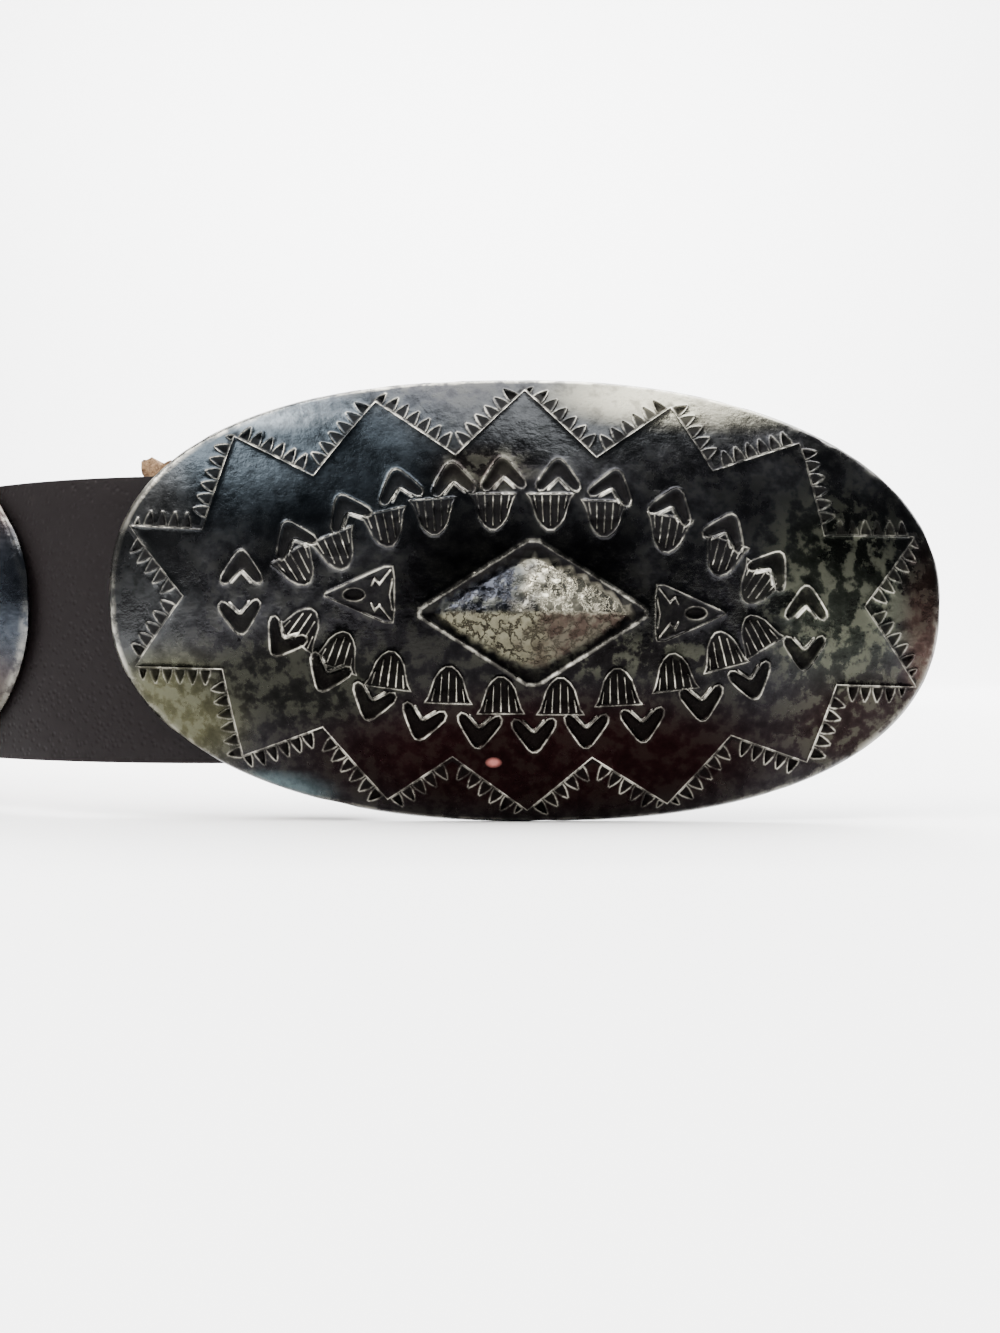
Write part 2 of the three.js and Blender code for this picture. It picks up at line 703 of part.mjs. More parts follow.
// Strap loops of a concho: flat strips round the strap's waist side, with their feet in the plate's wall.
function loopSolids() {
  const half = strapWidth / 2 + loopSlack;
  const outer = half + loopThickness;
  const inside = -(rimGap + strapThickness + clearance);
  const outside = inside - loopThickness;
  const top = hollowRise(conchoPlate, loopHalfSpan, outer) + conchoWall * footShare;
  const profile = [
    [-outer, top],
    [-outer, outside],
    [outer, outside],
    [outer, top],
    [half, top],
    [half, inside],
    [-half, inside],
    [-half, top],
  ];
  const corners = profile.map(([y, z]) => new THREE.Vector2(y, z));
  return [-1, 1].map((side) => lengthwise(corners, loopWidth, (side * loopSpacing) / 2));
}

// Pieces of the belt

const silver = () => new THREE.MeshStandardMaterial({ color: 0x76746f, roughness: 0.34, metalness: 1 });
const leather = () => new THREE.MeshStandardMaterial({ color: 0x211d1b, roughness: 0.6, metalness: 0 });
const copper = () => new THREE.MeshStandardMaterial({ color: 0x8a5a3c, roughness: 0.45, metalness: 1 });

function piece(name, geometry, material) {
  const mesh = new THREE.Mesh(geometry, material);
  mesh.name = name;
  return mesh;
}

// A plate's own frame turned upright: its face looks along -Y and its height runs up Z.
function upright(solid) {
  return geometryOf(solid).rotateX(Math.PI / 2);
}

const belt = new THREE.Group();
belt.add(piece("strap", geometryOf(strapSolid()), leather()));

const rim = rimDepth();
const buckleSolid = joined([domedPlate(bucklePlate), barSolid(rim), hookSolid(rim)]);
const buckle = piece("buckle", upright(buckleSolid), silver());
buckle.position.set(0, -rim, buckleHeight / 2);
belt.add(buckle);

const concho = upright(joined([domedPlate(conchoPlate), ...loopSolids()]));
for (let i = 1; i <= conchoCount; i++) {
  const stretch = stretchNamed(route, `concho${i}`);
  const middle = placeOn(route, stretch.along + stretch.length - loopHalfSpan);
  const rimPlane = middle.point.clone().addScaledVector(middle.outward, strapThickness / 2 + rimGap);
  const plate = piece(`concho_${i}`, concho.clone(), silver());
  plate.position.set(rimPlane.x, rimPlane.y, strapLevel + (i === 1 ? firstConchoLift : -conchoDrop));
  plate.rotation.z = middle.heading + Math.PI;
  belt.add(plate);
}

const rivet = geometryOf(rivetSolid());
rivetLevels().forEach((level, i) => {
  const mesh = piece(`tab_rivet_${i + 1}`, rivet.clone(), copper());
  mesh.position.set(-rivetFromMiddle, 0, level);
  mesh.rotation.z = Math.PI;
  belt.add(mesh);
});

// The origin is under the middle of the belt's box, on the surface that it stands on
const box = new THREE.Box3().setFromObject(belt, true);
const middle = box.getCenter(new THREE.Vector3());
belt.position.set(-middle.x, -middle.y, -box.min.z);
belt.updateMatrixWorld(true);

export default belt;
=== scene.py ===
"""A concho belt: a black leather strap with a stamped silver plate buckle and seven smaller plates.

The pieces are worked out in millimetres, in frames of their own, and are put in their places in metres.
"""

import logging
import math
import random
from dataclasses import dataclass, field
from enum import Enum

import bmesh
import bpy
import numpy as np
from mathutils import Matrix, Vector, geometry, noise


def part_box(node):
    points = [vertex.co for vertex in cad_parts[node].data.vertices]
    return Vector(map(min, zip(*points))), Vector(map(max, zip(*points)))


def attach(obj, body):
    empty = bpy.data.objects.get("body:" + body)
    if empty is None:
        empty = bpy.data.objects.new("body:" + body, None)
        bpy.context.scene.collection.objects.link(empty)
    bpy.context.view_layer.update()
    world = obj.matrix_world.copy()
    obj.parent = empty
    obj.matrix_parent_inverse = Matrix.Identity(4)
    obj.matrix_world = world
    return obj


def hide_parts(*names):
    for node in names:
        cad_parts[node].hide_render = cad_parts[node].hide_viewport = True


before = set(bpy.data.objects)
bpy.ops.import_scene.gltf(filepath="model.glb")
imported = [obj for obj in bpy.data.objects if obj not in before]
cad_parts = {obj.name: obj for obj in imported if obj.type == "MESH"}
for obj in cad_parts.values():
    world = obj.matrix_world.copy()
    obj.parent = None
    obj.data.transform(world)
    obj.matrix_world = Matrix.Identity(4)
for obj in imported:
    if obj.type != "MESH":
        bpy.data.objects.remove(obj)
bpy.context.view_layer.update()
METRES = 0.001  # of a millimetre
LOG = logging.getLogger("belt")


class Slot(Enum):
    """The record's material slots."""

    LEATHER = "strap_leather"
    BUCKLE = "buckle_silver"
    CONCHO = "concho_silver"
    RIVET = "rivet_copper"


# Plane geometry: outlines are arrays of points, a row each


def smoothstep(low: float, high: float, value: np.ndarray) -> np.ndarray:
    """An even rise from 0 at low to 1 at high."""
    t = np.clip((value - low) / (high - low), 0, 1)
    return t * t * (3 - 2 * t)


def resampled(points: np.ndarray, spacing: float, closed: bool = True) -> np.ndarray:
    """Sets points along a line, keeping its corners.

    Args:
        points: The line's corners.
        spacing: The widest step between two points.
        closed: Whether the line ends where it starts.

    Returns:
        The line's points.
    """
    ends = np.roll(points, -1, axis=0) if closed else points[1:]
    placed = []
    for start, end in zip(points, ends):
        steps = max(1, math.ceil(float(np.linalg.norm(end - start)) / spacing))
        placed.extend(start + (end - start) * i / steps for i in range(steps))
    if not closed:
        placed.append(points[-1])
    return np.array(placed)


def turned(points: np.ndarray, degrees: float, middle: tuple[float, float]) -> np.ndarray:
    """Turns points about the origin and then moves them to a middle.

    Args:
        points: Places, a row each.
        degrees: The turn, anticlockwise.
        middle: Where the middle goes.

    Returns:
        The moved points.
    """
    angle = math.radians(degrees)
    across = np.array([[math.cos(angle), math.sin(angle)], [-math.sin(angle), math.cos(angle)]])
    return points @ across + np.array(middle)


def offset(points: np.ndarray, by: float, miter: float = 1.6) -> np.ndarray:
    """Moves a closed outline, which runs anticlockwise, outwards.

    Args:
        points: The outline.
        by: How far it moves, which is less than 0 to move inwards.
        miter: The furthest that a corner may reach, as a multiple of by.

    Returns:
        The moved outline, with as many points.
    """
    arriving = points - np.roll(points, 1, axis=0)
    leaving = np.roll(points, -1, axis=0) - points
    arriving /= np.maximum(np.linalg.norm(arriving, axis=1, keepdims=True), 1e-9)
    leaving /= np.maximum(np.linalg.norm(leaving, axis=1, keepdims=True), 1e-9)
    way = arriving + leaving
    way /= np.maximum(np.linalg.norm(way, axis=1, keepdims=True), 1e-9)
    out = np.column_stack((way[:, 1], -way[:, 0]))
    reach = 1 / np.clip(np.sum(way * leaving, axis=1), 1 / miter, 1)
    return points + out * (by * reach)[:, None]


def stroke(line: list[tuple[float, float]], width: float, cap_steps: int = 4) -> np.ndarray:
    """The outline of a broad line with round ends.

    Args:
        line: The corners of the line.
        width: Its width.
        cap_steps: Steps in each round end.

    Returns:
        A closed outline, anticlockwise.
    """
    points = np.array(line, float)
    half = width / 2
    ways = np.diff(points, axis=0)
    ways /= np.linalg.norm(ways, axis=1, keepdims=True)
    left = []
    right = []
    for i, point in enumerate(points):
        way = ways[max(0, i - 1)] + ways[min(len(ways) - 1, i)]
        way /= np.linalg.norm(way)
        across = np.array([-way[1], way[0]])
        reach = half / max(0.5, float(way @ ways[max(0, i - 1)]))
        left.append(point + across * reach)
        right.append(point - across * reach)

    def cap(middle: np.ndarray, way: np.ndarray) -> list[np.ndarray]:
        """Points round one end, from its right side to its left.

        Args:
            middle: The end's middle.
            way: The way that the line ends in.

        Returns:
            The points.
        """
        start = math.atan2(-way[0], way[1])
        turns = [start + math.pi * i / cap_steps for i in range(1, cap_steps)]
        return [middle + half * np.array([math.cos(turn), math.sin(turn)]) for turn in turns]

    return np.array(right + cap(points[-1], ways[-1]) + left[::-1] + cap(points[0], -ways[0]))


def distance_inside(points: np.ndarray, outline: np.ndarray) -> np.ndarray:
    """How far points lie from a closed outline, less than 0 inside it.

    Args:
        points: Places, a row each.
        outline: A closed outline.

    Returns:
        The distances.
    """
    starts = outline
    ends = np.roll(outline, -1, axis=0)
    sides = ends - starts
    away = points[:, None, :] - starts[None, :, :]
    along = np.clip(np.sum(away * sides, axis=2) / np.maximum(np.sum(sides * sides, axis=1), 1e-12), 0, 1)
    gaps = np.linalg.norm(away - along[:, :, None] * sides, axis=2).min(axis=1)
    above = points[:, None, 1] < ends[None, :, 1]
    below = points[:, None, 1] >= starts[None, :, 1]
    rises = sides[:, 1]
    level = np.where(np.abs(rises) < 1e-12, 1e-12, rises)
    crossing = starts[None, :, 0] + (points[:, None, 1] - starts[None, :, 1]) * sides[:, 0] / level
    straddles = (above & below) | (~above & ~below)
    inside = np.sum(straddles & (points[:, None, 0] < crossing), axis=1) % 2 == 1
    return np.where(inside, -gaps, gaps)


@dataclass(frozen=True)
class Oval:
    """The outline of a plate: an oval whose quarters can be blunter than an ellipse's."""

    half_length: float
    half_height: float
    left_top: float
    right_top: float
    right_bottom: float
    left_bottom: float

    def bluntness(self, x: np.ndarray, y: np.ndarray) -> np.ndarray:
        """The power of the outline in the quarter that holds each point.

        Args:
            x: Places along the plate.
            y: Places up the plate.

        Returns:
            The powers.
        """
        top = np.where(x < 0, self.left_top, self.right_top)
        bottom = np.where(x < 0, self.left_bottom, self.right_bottom)
        return np.where(y >= 0, top, bottom)

    def share(self, x: np.ndarray, y: np.ndarray) -> np.ndarray:
        """How far out points lie, as a share of the way from the middle to the outline."""
        power = self.bluntness(x, y)
        return (np.abs(x / self.half_length) ** power + np.abs(y / self.half_height) ** power) ** (1 / power)

    def outline(self, spacing: float) -> np.ndarray:
        """The outline's points, evenly spaced and anticlockwise.

        Args:
            spacing: The step between its points.

        Returns:
            The outline's points.
        """
        turn = np.linspace(0, 2 * math.pi, 2400, endpoint=False)
        c = np.cos(turn)
        s = np.sin(turn)
        power = 2 / self.bluntness(c, s)
        x = self.half_length * np.sign(c) * np.abs(c) ** power
        y = self.half_height * np.sign(s) * np.abs(s) ** power
        points = np.column_stack((x, y))
        steps = np.linalg.norm(np.roll(points, -1, axis=0) - points, axis=1)
        along = np.concatenate(([0], np.cumsum(steps)))
        closed = np.vstack((points, points[:1]))
        wanted = np.linspace(0, along[-1], max(8, round(along[-1] / spacing)), endpoint=False)
        return np.column_stack([np.interp(wanted, along, closed[:, k]) for k in range(2)])


# Stamped work


@dataclass(frozen=True)
class Cut:
    """How a stamp shapes the metal: a sunk floor, a wall up to a raised lip, and the lip's outer slope."""

    depth: float
    wall: float
    lip: float
    slope: float
    # How brightly the lip is painted, wear with painted highlight.
    wear_and_glint: float = 1.0
    shade: float = 1.0

    def rings(self) -> list[float]:
        """The distances from the outline at which the mesh needs a ring of points."""
        return [self.slope, self.slope * 0.35, 0.0, -self.wall * 0.45, -self.wall]

    def level(self, gap: np.ndarray) -> np.ndarray:
        """The height of the metal at distances from the outline.

        Args:
            gap: Distances from the outline, less than 0 inside it.

        Returns:
            The heights.
        """
        inner = self.lip - (self.lip + self.depth) * smoothstep(0, self.wall, -gap)
        outer = self.lip * (1 - np.clip(gap / self.slope, 0, 1)) ** 2
        return np.where(gap < 0, inner, outer)


@dataclass(frozen=True)
class Mark:
    """One struck mark: its outline on the plate, and the way that it is cut."""

    outline: np.ndarray
    cut: Cut


@dataclass(frozen=True)
class Punch:
    """A punch: the outlines that one blow leaves, each about its own middle with the blow looking along x."""

    cuts: tuple[tuple[np.ndarray, Cut], ...]
    spacing: float = 0.42

    def struck(self, middle: tuple[float, float], degrees: float, size: float = 1.0) -> list[Mark]:
        """The marks of one blow at a place, turned and scaled.

        Args:
            middle: Where the middle goes.
            degrees: The turn, anticlockwise.
            size: The mark's scale.

        Returns:
            The marks.
        """
        marks = []
        for outline, cut in self.cuts:
            line = turned(resampled(outline * size, self.spacing), degrees, middle)
            marks.append(Mark(line, cut))
        return marks


GROOVE = Cut(depth=0.46, wall=0.42, lip=0.13, slope=0.4)
BELL = Cut(depth=0.42, wall=0.3, lip=0.14, slope=0.38)
TOOTH = Cut(depth=0.42, wall=0.3, lip=0.1, slope=0.2, wear_and_glint=0.7)
HEAD = Cut(depth=0.26, wall=0.4, lip=0.16, slope=0.4, shade=0.55)
EYE = Cut(depth=0.7, wall=0.35, lip=0.04, slope=0.3, wear_and_glint=0.6)
RIB = Cut(depth=-0.26, wall=0.1, lip=0.0, slope=0.1)
BURR = Cut(depth=-0.2, wall=0.16, lip=0.0, slope=0.14)


def chevron_punch() -> Punch:
    """A sunk broad V with a rounded point, and a bright burr along its inner side.

    Returns:
        The punch.
    """
    nose = [(2.0, 0.3), (1.6, 0.8), (0.0, 1.95)]
    leg = [(-1.2, 2.7), (-1.9, 2.8), (-2.35, 2.4), (-2.2, 1.8), (-0.6, 0.2)]
    half = nose + leg
    band = np.array(half + [(x, -y) for x, y in reversed(half)])
    burr = stroke([(-2.1, 1.3), (-0.7, 0.0), (-2.1, -1.3)], 0.46, 2)
    return Punch(((band, GROOVE), (burr, BURR)))


def fan_punch() -> Punch:
    """A bell-shaped mark with its nose along x and thin ribs that run to the nose.

    Returns:
        The punch.
    """
    half = [(-2.3, -2.95), (-1.6, -2.5), (-0.4, -2.1), (0.8, -1.75), (1.7, -1.15), (2.3, -0.4)]
    bell = np.array(half + [(x, -y) for x, y in reversed(half)])
    cuts = [(bell, BELL)]
    for across, reach in ((-1.85, -0.5), (-0.95, 1.2), (0.0, 1.7), (0.95, 1.2), (1.85, -0.5)):
        cuts.append((stroke([(-2.05, across * 1.1), (reach, across * 0.95)], 0.24, 2), RIB))
    return Punch(tuple(cuts))


def arrow_punch() -> Punch:
    """An arrowhead along x with a barbed back and a pierced-looking eye.

    Returns:
        The punch.
    """
    half = [(4.6, 0.15), (-3.0, 3.5), (-4.0, 3.5), (-4.2, 2.2)]
    head = np.array([(x, -y) for x, y in reversed(half)] + half)
    turns = [2 * math.pi * i / 14 for i in range(14)]
    eye = np.array([(1.45 * math.cos(turn), 0.85 * math.sin(turn)) for turn in turns])
    cuts = [(head, HEAD), (eye + np.array([0.9, 0.0]), EYE)]
    for side in (-1, 1):
        spur = [(-3.7, side * 3.1), (-2.3, side * 1.3), (-1.7, side * 2.0), (-1.3, side * 1.1)]
        cuts.append((stroke(spur, 0.36, 2), BURR))
    cuts.append((stroke([(-3.9, -1.9), (-3.6, 0.0), (-3.9, 1.9)], 0.36, 2), BURR))
    return Punch(tuple(cuts))


def tooth_punch() -> Punch:
    """A small wedge that stands on the zigzag line and points along x."""
    half = [(0.0, -0.72), (0.6, -0.66), (1.35, -0.4), (1.95, -0.1)]
    return Punch(((np.array(half + [(x, -y) for x, y in reversed(half)]), TOOTH),), 0.5)


@dataclass(frozen=True)
class Engraved:
    """The zigzag line: a bright crest with a thin groove along its outer side."""

    corners: np.ndarray
    crest: float = 0.12
    groove: float = 0.3
    groove_at: float = 0.32
    reach: float = 0.62
    crest_width: float = 0.11
    shade_width: float = 0.3

    def rings(self) -> list[np.ndarray]:
        """Lines beside the zigzag at which the mesh needs points.

        Returns:
            The lines or loops of points.
        """
        line = resampled(self.corners, 0.55)
        across = (-self.reach, -self.crest_width, 0.0, self.crest_width, self.groove_at, self.reach)
        return [offset(line, by) for by in across]

    def level(self, gap: np.ndarray) -> np.ndarray:
        """The height of the metal at distances from the line, above 0 outside it.

        Args:
            gap: Distances from the outline, less than 0 inside it.

        Returns:
            The heights.
        """
        crest = self.crest * np.clip(1 - np.abs(gap) / (self.reach * 0.8), 0, 1) ** 2
        groove = self.groove * np.clip(1 - np.abs(gap - self.groove_at) / (self.groove_at * 0.9), 0, 1)
        return crest - groove


@dataclass(frozen=True)
class Boss:
    """The raised diamond and the sunk field round it."""

    half_length: float
    half_height: float
    height: float
    x: float
    y: float
    field_length: float
    field_height: float
    field_depth: float
    softness: float = 1.18
    crinkle: float = 0.28

    def lozenge(self, half_length: float, half_height: float) -> np.ndarray:
        """A lozenge's outline about the boss's middle, anticlockwise, with small blunt corners.

        Args:
            half_length: Half its length.
            half_height: Half its height.

        Returns:
            The outline.
        """
        blunt = 0.05
        corners = []
        for x, y in ((1, 0), (0, 1), (-1, 0), (0, -1)):
            side = (-y, x)
            for way in (-1, 1):
                corners.append(
                    (
                        self.x + half_length * (x * (1 - blunt) + way * side[0] * blunt),
                        self.y + half_height * (y * (1 - blunt) + way * side[1] * blunt),
                    )
                )
        return np.array(corners)

    def share(self, points: np.ndarray) -> np.ndarray:
        """How far out points lie on the boss, 1 being its foot.

        Args:
            points: Places, a row each.

        Returns:
            The shares.
        """
        x = np.abs(points[:, 0] - self.x) / self.half_length
        y = np.abs(points[:, 1] - self.y) / self.half_height
        return (x**self.softness + y**self.softness) ** (1 / self.softness)

    def rings(self) -> list[np.ndarray]:
        """Loops of points over the boss and its field.

        Returns:
            The lines or loops of points.
        """
        loops = []
        for share in (0.06, 0.14, 0.23, 0.32, 0.41, 0.5, 0.59, 0.68, 0.77, 0.86, 0.94, 1.0):
            loops.append(resampled(self.lozenge(self.half_length * share, self.half_height * share), 0.5))
        outer = resampled(self.lozenge(self.field_length, self.field_height), 0.5)
        loops.extend((outer, offset(outer, -0.35), offset(outer, 0.35)))
        return loops

    def level(self, points: np.ndarray) -> np.ndarray:
        """The height that the boss and its field add at points.

        Args:
            points: Places, a row each.

        Returns:
            The heights.
        """
        edge = distance_inside(points, self.lozenge(self.field_length, self.field_height))
        lip = 0.16 * np.clip(1 - edge / 0.35, 0, 1) ** 2
        sunk = np.where(edge < 0, 0.16 - (0.16 + self.field_depth) * smoothstep(0, 1.5, -edge), lip)
        share = self.share(points)
        dome = (self.height + self.field_depth) * (1 - np.clip(share, 0, 1)) ** 0.8
        on_it = share < 1
        places = [Vector((x * 0.9, y * 0.9, 2)) for x, y in points[on_it]]
        rough = np.array([noise.turbulence(place, 3, False) for place in places])
        dome[on_it] -= self.crinkle * rough * smoothstep(0.0, 0.3, 1 - share[on_it])
        return sunk + dome


@dataclass(frozen=True)
class TarnishAndLightPatch:
    """A tinted patch on a plate, of tarnish in some rows and of painted light in others: its middle and reach
    as shares of the half sizes, and its colour.
    """

    x: float
    y: float
    reach_x: float
    reach_y: float
    color: tuple[float, float, float]
    strength: float = 1.0
    patina: float = 0.0


@dataclass(frozen=True)
class Facet:
    """The colour of one of the boss's four facets, which is painted light and shade, with its patina and how
    crackled it is.
    """

    color: tuple[float, float, float]
    patina: float
    crackle: float


@dataclass(frozen=True)
class PlatePlace:
    """Where a plate lies: the middle of its rim plane, and its face's direction seen from above."""

    middle: Vector
    outward: Vector

    def world(self, points: np.ndarray) -> np.ndarray:
        """Takes points from the plate's own frame, in millimetres, to the belt's, in metres.

        Args:
            points: Places, a row each.

        Returns:
            The same points in the belt's frame.
        """
        along = np.array([-self.outward.y, self.outward.x, 0.0])
        out = np.array(self.outward)
        up = np.array([0.0, 0.0, 1.0])
        turned_points = points[:, :1] * along + points[:, 1:2] * up + points[:, 2:3] * out
        return np.array(self.middle) + turned_points * METRES


@dataclass
class StampedPlate:
    """A domed oval plate with stamped work on its face and a plain hollow behind it."""

    name: str
    node: str
    slot: Slot
    oval: Oval
    edge: float
    rise: float
    wall: float
    boss: Boss
    zigzag: Engraved
    marks: list[Mark]
    tint_patches: list[TarnishAndLightPatch]
    base_color: tuple[float, float, float]
    seed: int
    facets: tuple[Facet, Facet, Facet, Facet]
    sharpness: float = 2.3
    outline_spacing: float = 0.62
    grid: float = 1.15
    rounding: float = 0.45
    dent: float = 0.16
    # Width and strength of the bright edges, wear with painted highlight.
    wear_and_glint_width: float = 0.07
    nick: float = 0.22
    crest_wear_and_glint: float = 0.85
    lip_wear_and_glint: float = 0.66
    rim_wear_and_glint: float = 0.8
    fill_share: float = 0.965
    ring_share: float = 0.992
    mark_margin: float = 1.2
    small_patch: float = 0.03
    rim_insets: tuple[float, ...] = (0.12, 0.3, 0.6, 1.1)
    back_shares: tuple[float, ...] = (0.985, 0.95, 0.88, 0.78, 0.65, 0.5, 0.34, 0.18, 0.06)

    def dome(self, x: np.ndarray, y: np.ndarray) -> np.ndarray:
        """The height of the bare dome above the rim plane."""
        share = np.clip(self.oval.share(x, y), 0, 1)
        return self.edge + self.rise * (1 - share**self.sharpness)

    def dents(self, points: np.ndarray) -> np.ndarray:
        """Soft unevenness from hammering, which dies out towards the rim.

        Args:
            points: Places, a row each.

        Returns:
            The heights.
        """
        shift = Vector((self.seed * 3.7, self.seed * 1.3, 0))
        rough = [noise.noise(Vector((x / 9, y / 9, 0)) + shift) for x, y in points]
        fine = [noise.noise(Vector((x / 3.2, y / 3.2, 5)) + shift) for x, y in points]
        inside = 1 - smoothstep(0.86, 1, self.oval.share(points[:, 0], points[:, 1]))
        return (np.array(rough) * self.dent + np.array(fine) * self.dent * 0.22) * inside

    def spot(self, patch: TarnishAndLightPatch, share: float) -> np.ndarray:
        """A ring of points at a share of a small patch's reach.

        Args:
            patch: The patch.
            share: The share of the way out.

        Returns:
            The ring of points.
        """
        turn = np.linspace(0, 2 * math.pi, 14, endpoint=False)
        x = (patch.x + patch.reach_x * share * np.cos(turn)) * self.oval.half_length
        y = (patch.y + patch.reach_y * share * np.sin(turn)) * self.oval.half_height
        return np.column_stack((x, y))

    def nicked(self, outline: np.ndarray) -> np.ndarray:
        """Wears an outline in by up to the nicks' depth.

        Args:
            outline: A closed outline.

        Returns:
            The worn outline.
        """
        shift = Vector((0, self.seed * 2.9, 0))
        rough = [noise.noise(Vector((x / 5, y / 5, 1)) + shift) for x, y in outline]
        depth = self.nick * np.clip(np.array(rough) * 1.8 - 0.1, 0, 1)
        return outline * (1 - depth / np.linalg.norm(outline, axis=1))[:, None]

    def fill(self) -> np.ndarray:
        """Points in an even pattern over the face, clear of its edge.

        Returns:
            The points.
        """
        rise = self.grid * math.sqrt(3) / 2
        rows = math.ceil(self.oval.half_height / rise)
        columns = math.ceil(self.oval.half_length / self.grid)
        places = []
        for j in range(-rows, rows + 1):
            shift = self.grid / 2 * (j % 2)
            places.extend((i * self.grid + shift, j * rise) for i in range(-columns, columns + 1))
        points = np.array(places)
        return points[self.oval.share(points[:, 0], points[:, 1]) < self.fill_share]

    def near(self, points: np.ndarray, outline: np.ndarray, margin: float) -> np.ndarray:
        """Which points lie in an outline's box with a margin round it.

        Args:
            points: Places, a row each.
            outline: A closed outline.
            margin: The width added round the outline's box.

        Returns:
            The numbers of those points.
        """
        low = outline.min(axis=0) - margin
        high = outline.max(axis=0) + margin
        return np.flatnonzero(np.all((points >= low) & (points <= high), axis=1))

    def relief(self, points: np.ndarray) -> tuple[np.ndarray, np.ndarray, np.ndarray]:
        """The stamped work at points of the face.

        Args:
            points: Places on the face.

        Returns:
            The height that the work adds, how much a place is a dark recess, and how much it is a bright
            edge, wear with painted highlight.
        """
        gap = distance_inside(points, self.zigzag.corners)
        level = self.zigzag.level(gap)
        # Crests, lips and raised strokes are painted bright: partly wear, partly painted highlight on edges
        # that catch the light.
        wear_and_glint = np.clip(1 - np.abs(gap) / self.zigzag.crest_width, 0, 1) * self.crest_wear_and_glint
        recess = np.clip(1 - np.abs(gap - self.zigzag.groove_at) / self.zigzag.shade_width, 0, 1)
        for mark in self.marks:
            found = self.near(points, mark.outline, self.mark_margin)
            if not len(found):
                continue
            gap = distance_inside(points[found], mark.outline)
            height = mark.cut.level(gap)
            # A raised stroke is painted bright over its whole top, a painted highlight such as the one inside
            # each chevron.
            if mark.cut.depth < 0:
                top = smoothstep(0.0, mark.cut.wall, -gap)
                level[found] += height
                wear_and_glint[found] = np.maximum(wear_and_glint[found], top * self.crest_wear_and_glint)
                recess[found] *= 1 - top
                continue
            level[found] = np.where(gap < 0, height, np.maximum(level[found], height))
            crest = np.exp(-((gap / self.wear_and_glint_width) ** 2)) * mark.cut.wear_and_glint * self.lip_wear_and_glint
            floor = smoothstep(0.05, mark.cut.wall, -gap)
            wear_and_glint[found] = np.maximum(wear_and_glint[found] * (1 - floor), crest)
            recess[found] = np.maximum(recess[found], floor * mark.cut.shade)
        return level, recess, wear_and_glint

    def rounded_edge(self, points: np.ndarray) -> np.ndarray:
        """How far the rim's rounding lowers points near the outline.

        Args:
            points: Places, a row each.

        Returns:
            How far the edge is lowered.
        """
        share = self.oval.share(points[:, 0], points[:, 1])
        reach = np.minimum(self.oval.half_length, self.oval.half_height)
        inward = np.clip((1 - share) * reach / self.rounding, 0, 1)
        return self.rounding * (1 - np.sqrt(1 - (1 - inward) ** 2))

    def face(self, points: np.ndarray) -> tuple[np.ndarray, np.ndarray, np.ndarray]:
        """The face's height above the rim plane, its recesses and its bright edges, wear with painted
        highlight.

        Args:
            points: Places, a row each.

        Returns:
            The three values at each point.
        """
        level, recess, wear_and_glint = self.relief(points)
        share = self.oval.share(points[:, 0], points[:, 1])
        keep = 1 - smoothstep(0.975, 0.995, share)
        height = self.dome(points[:, 0], points[:, 1]) + self.dents(points)
        height += level * keep + self.boss.level(points) - self.rounded_edge(points)
        x = points[:, 0] / self.oval.half_length
        y = points[:, 1] / self.oval.half_height
        # Painted highlight on the rim: faint all round, strongest on the upper left, where the light falls.
        upper_left = np.clip(y - x * 0.6, 0, 1)
        rim = smoothstep(0.978, 0.992, share) * (0.2 + 0.8 * upper_left)
        wear_and_glint = np.maximum(wear_and_glint * keep, rim * self.rim_wear_and_glint)
        field = self.boss.lozenge(self.boss.field_length, self.boss.field_height)
        field_edge = distance_inside(points, field)
        # The sunk field's outline is painted bright too: wear with painted highlight.
        wear_and_glint = np.maximum(wear_and_glint, np.clip(1 - np.abs(field_edge) / 0.22, 0, 1) * self.rim_wear_and_glint)
        moat = smoothstep(0.1, 0.9, -field_edge) * smoothstep(0.98, 1.1, self.boss.share(points))
        return height, np.maximum(recess * keep, moat), wear_and_glint

    def mesh(self) -> bmesh.types.BMesh:
        """Builds the plate in its own frame, in millimetres.

        Its face is filled with triangles between the outlines of the stamped work, because no operator gives
        a curved face clean edges along so many marks. The rim and the hollow are extruded from its border.

        Returns:
            The closed mesh.
        """
        outline = self.nicked(self.oval.outline(self.outline_spacing))
        half = np.array([self.oval.half_length, self.oval.half_height])
        loops = [outline]
        loops.extend(outline * (1 - inset / half) for inset in self.rim_insets)
        loops.extend(self.zigzag.rings())
        loops.extend(self.boss.rings())
        for patch in self.tint_patches:
            if patch.reach_x < self.small_patch:
                loops.extend(self.spot(patch, share) for share in (0.35, 0.7, 1.0))
        for mark in self.marks:
            for ring in mark.cut.rings():
                loops.append(offset(mark.outline, ring) if ring else mark.outline)
        points = []
        edges = []
        for k, loop in enumerate(loops):
            if k:
                inside = self.oval.share(loop[:, 0], loop[:, 1]) < self.ring_share
                if not inside.all():
                    points.extend(loop[inside])
                    continue
            start = len(points)
            points.extend(loop)
            count = len(loop)
            edges.extend((start + i, start + (i + 1) % count) for i in range(count))
        points.extend(self.fill())
        flat = [Vector((float(x), float(y))) for x, y in points]
        laid, _, faces, _, _, _ = geometry.delaunay_2d_cdt(flat, edges, [], 1, 1e-3)
        plan = np.array([(v.x, v.y) for v in laid])
        height, recess, wear_and_glint = self.face(plan)
        bm = bmesh.new()
        recess_layer = bm.verts.layers.float.new("recess")
        wear_and_glint_layer = bm.verts.layers.float.new("wear_and_glint")
        made = [bm.verts.new((x, y, z)) for (x, y), z in zip(plan, height)]
        for vert, dark, bright in zip(made, recess, wear_and_glint):
            vert[recess_layer] = float(dark)
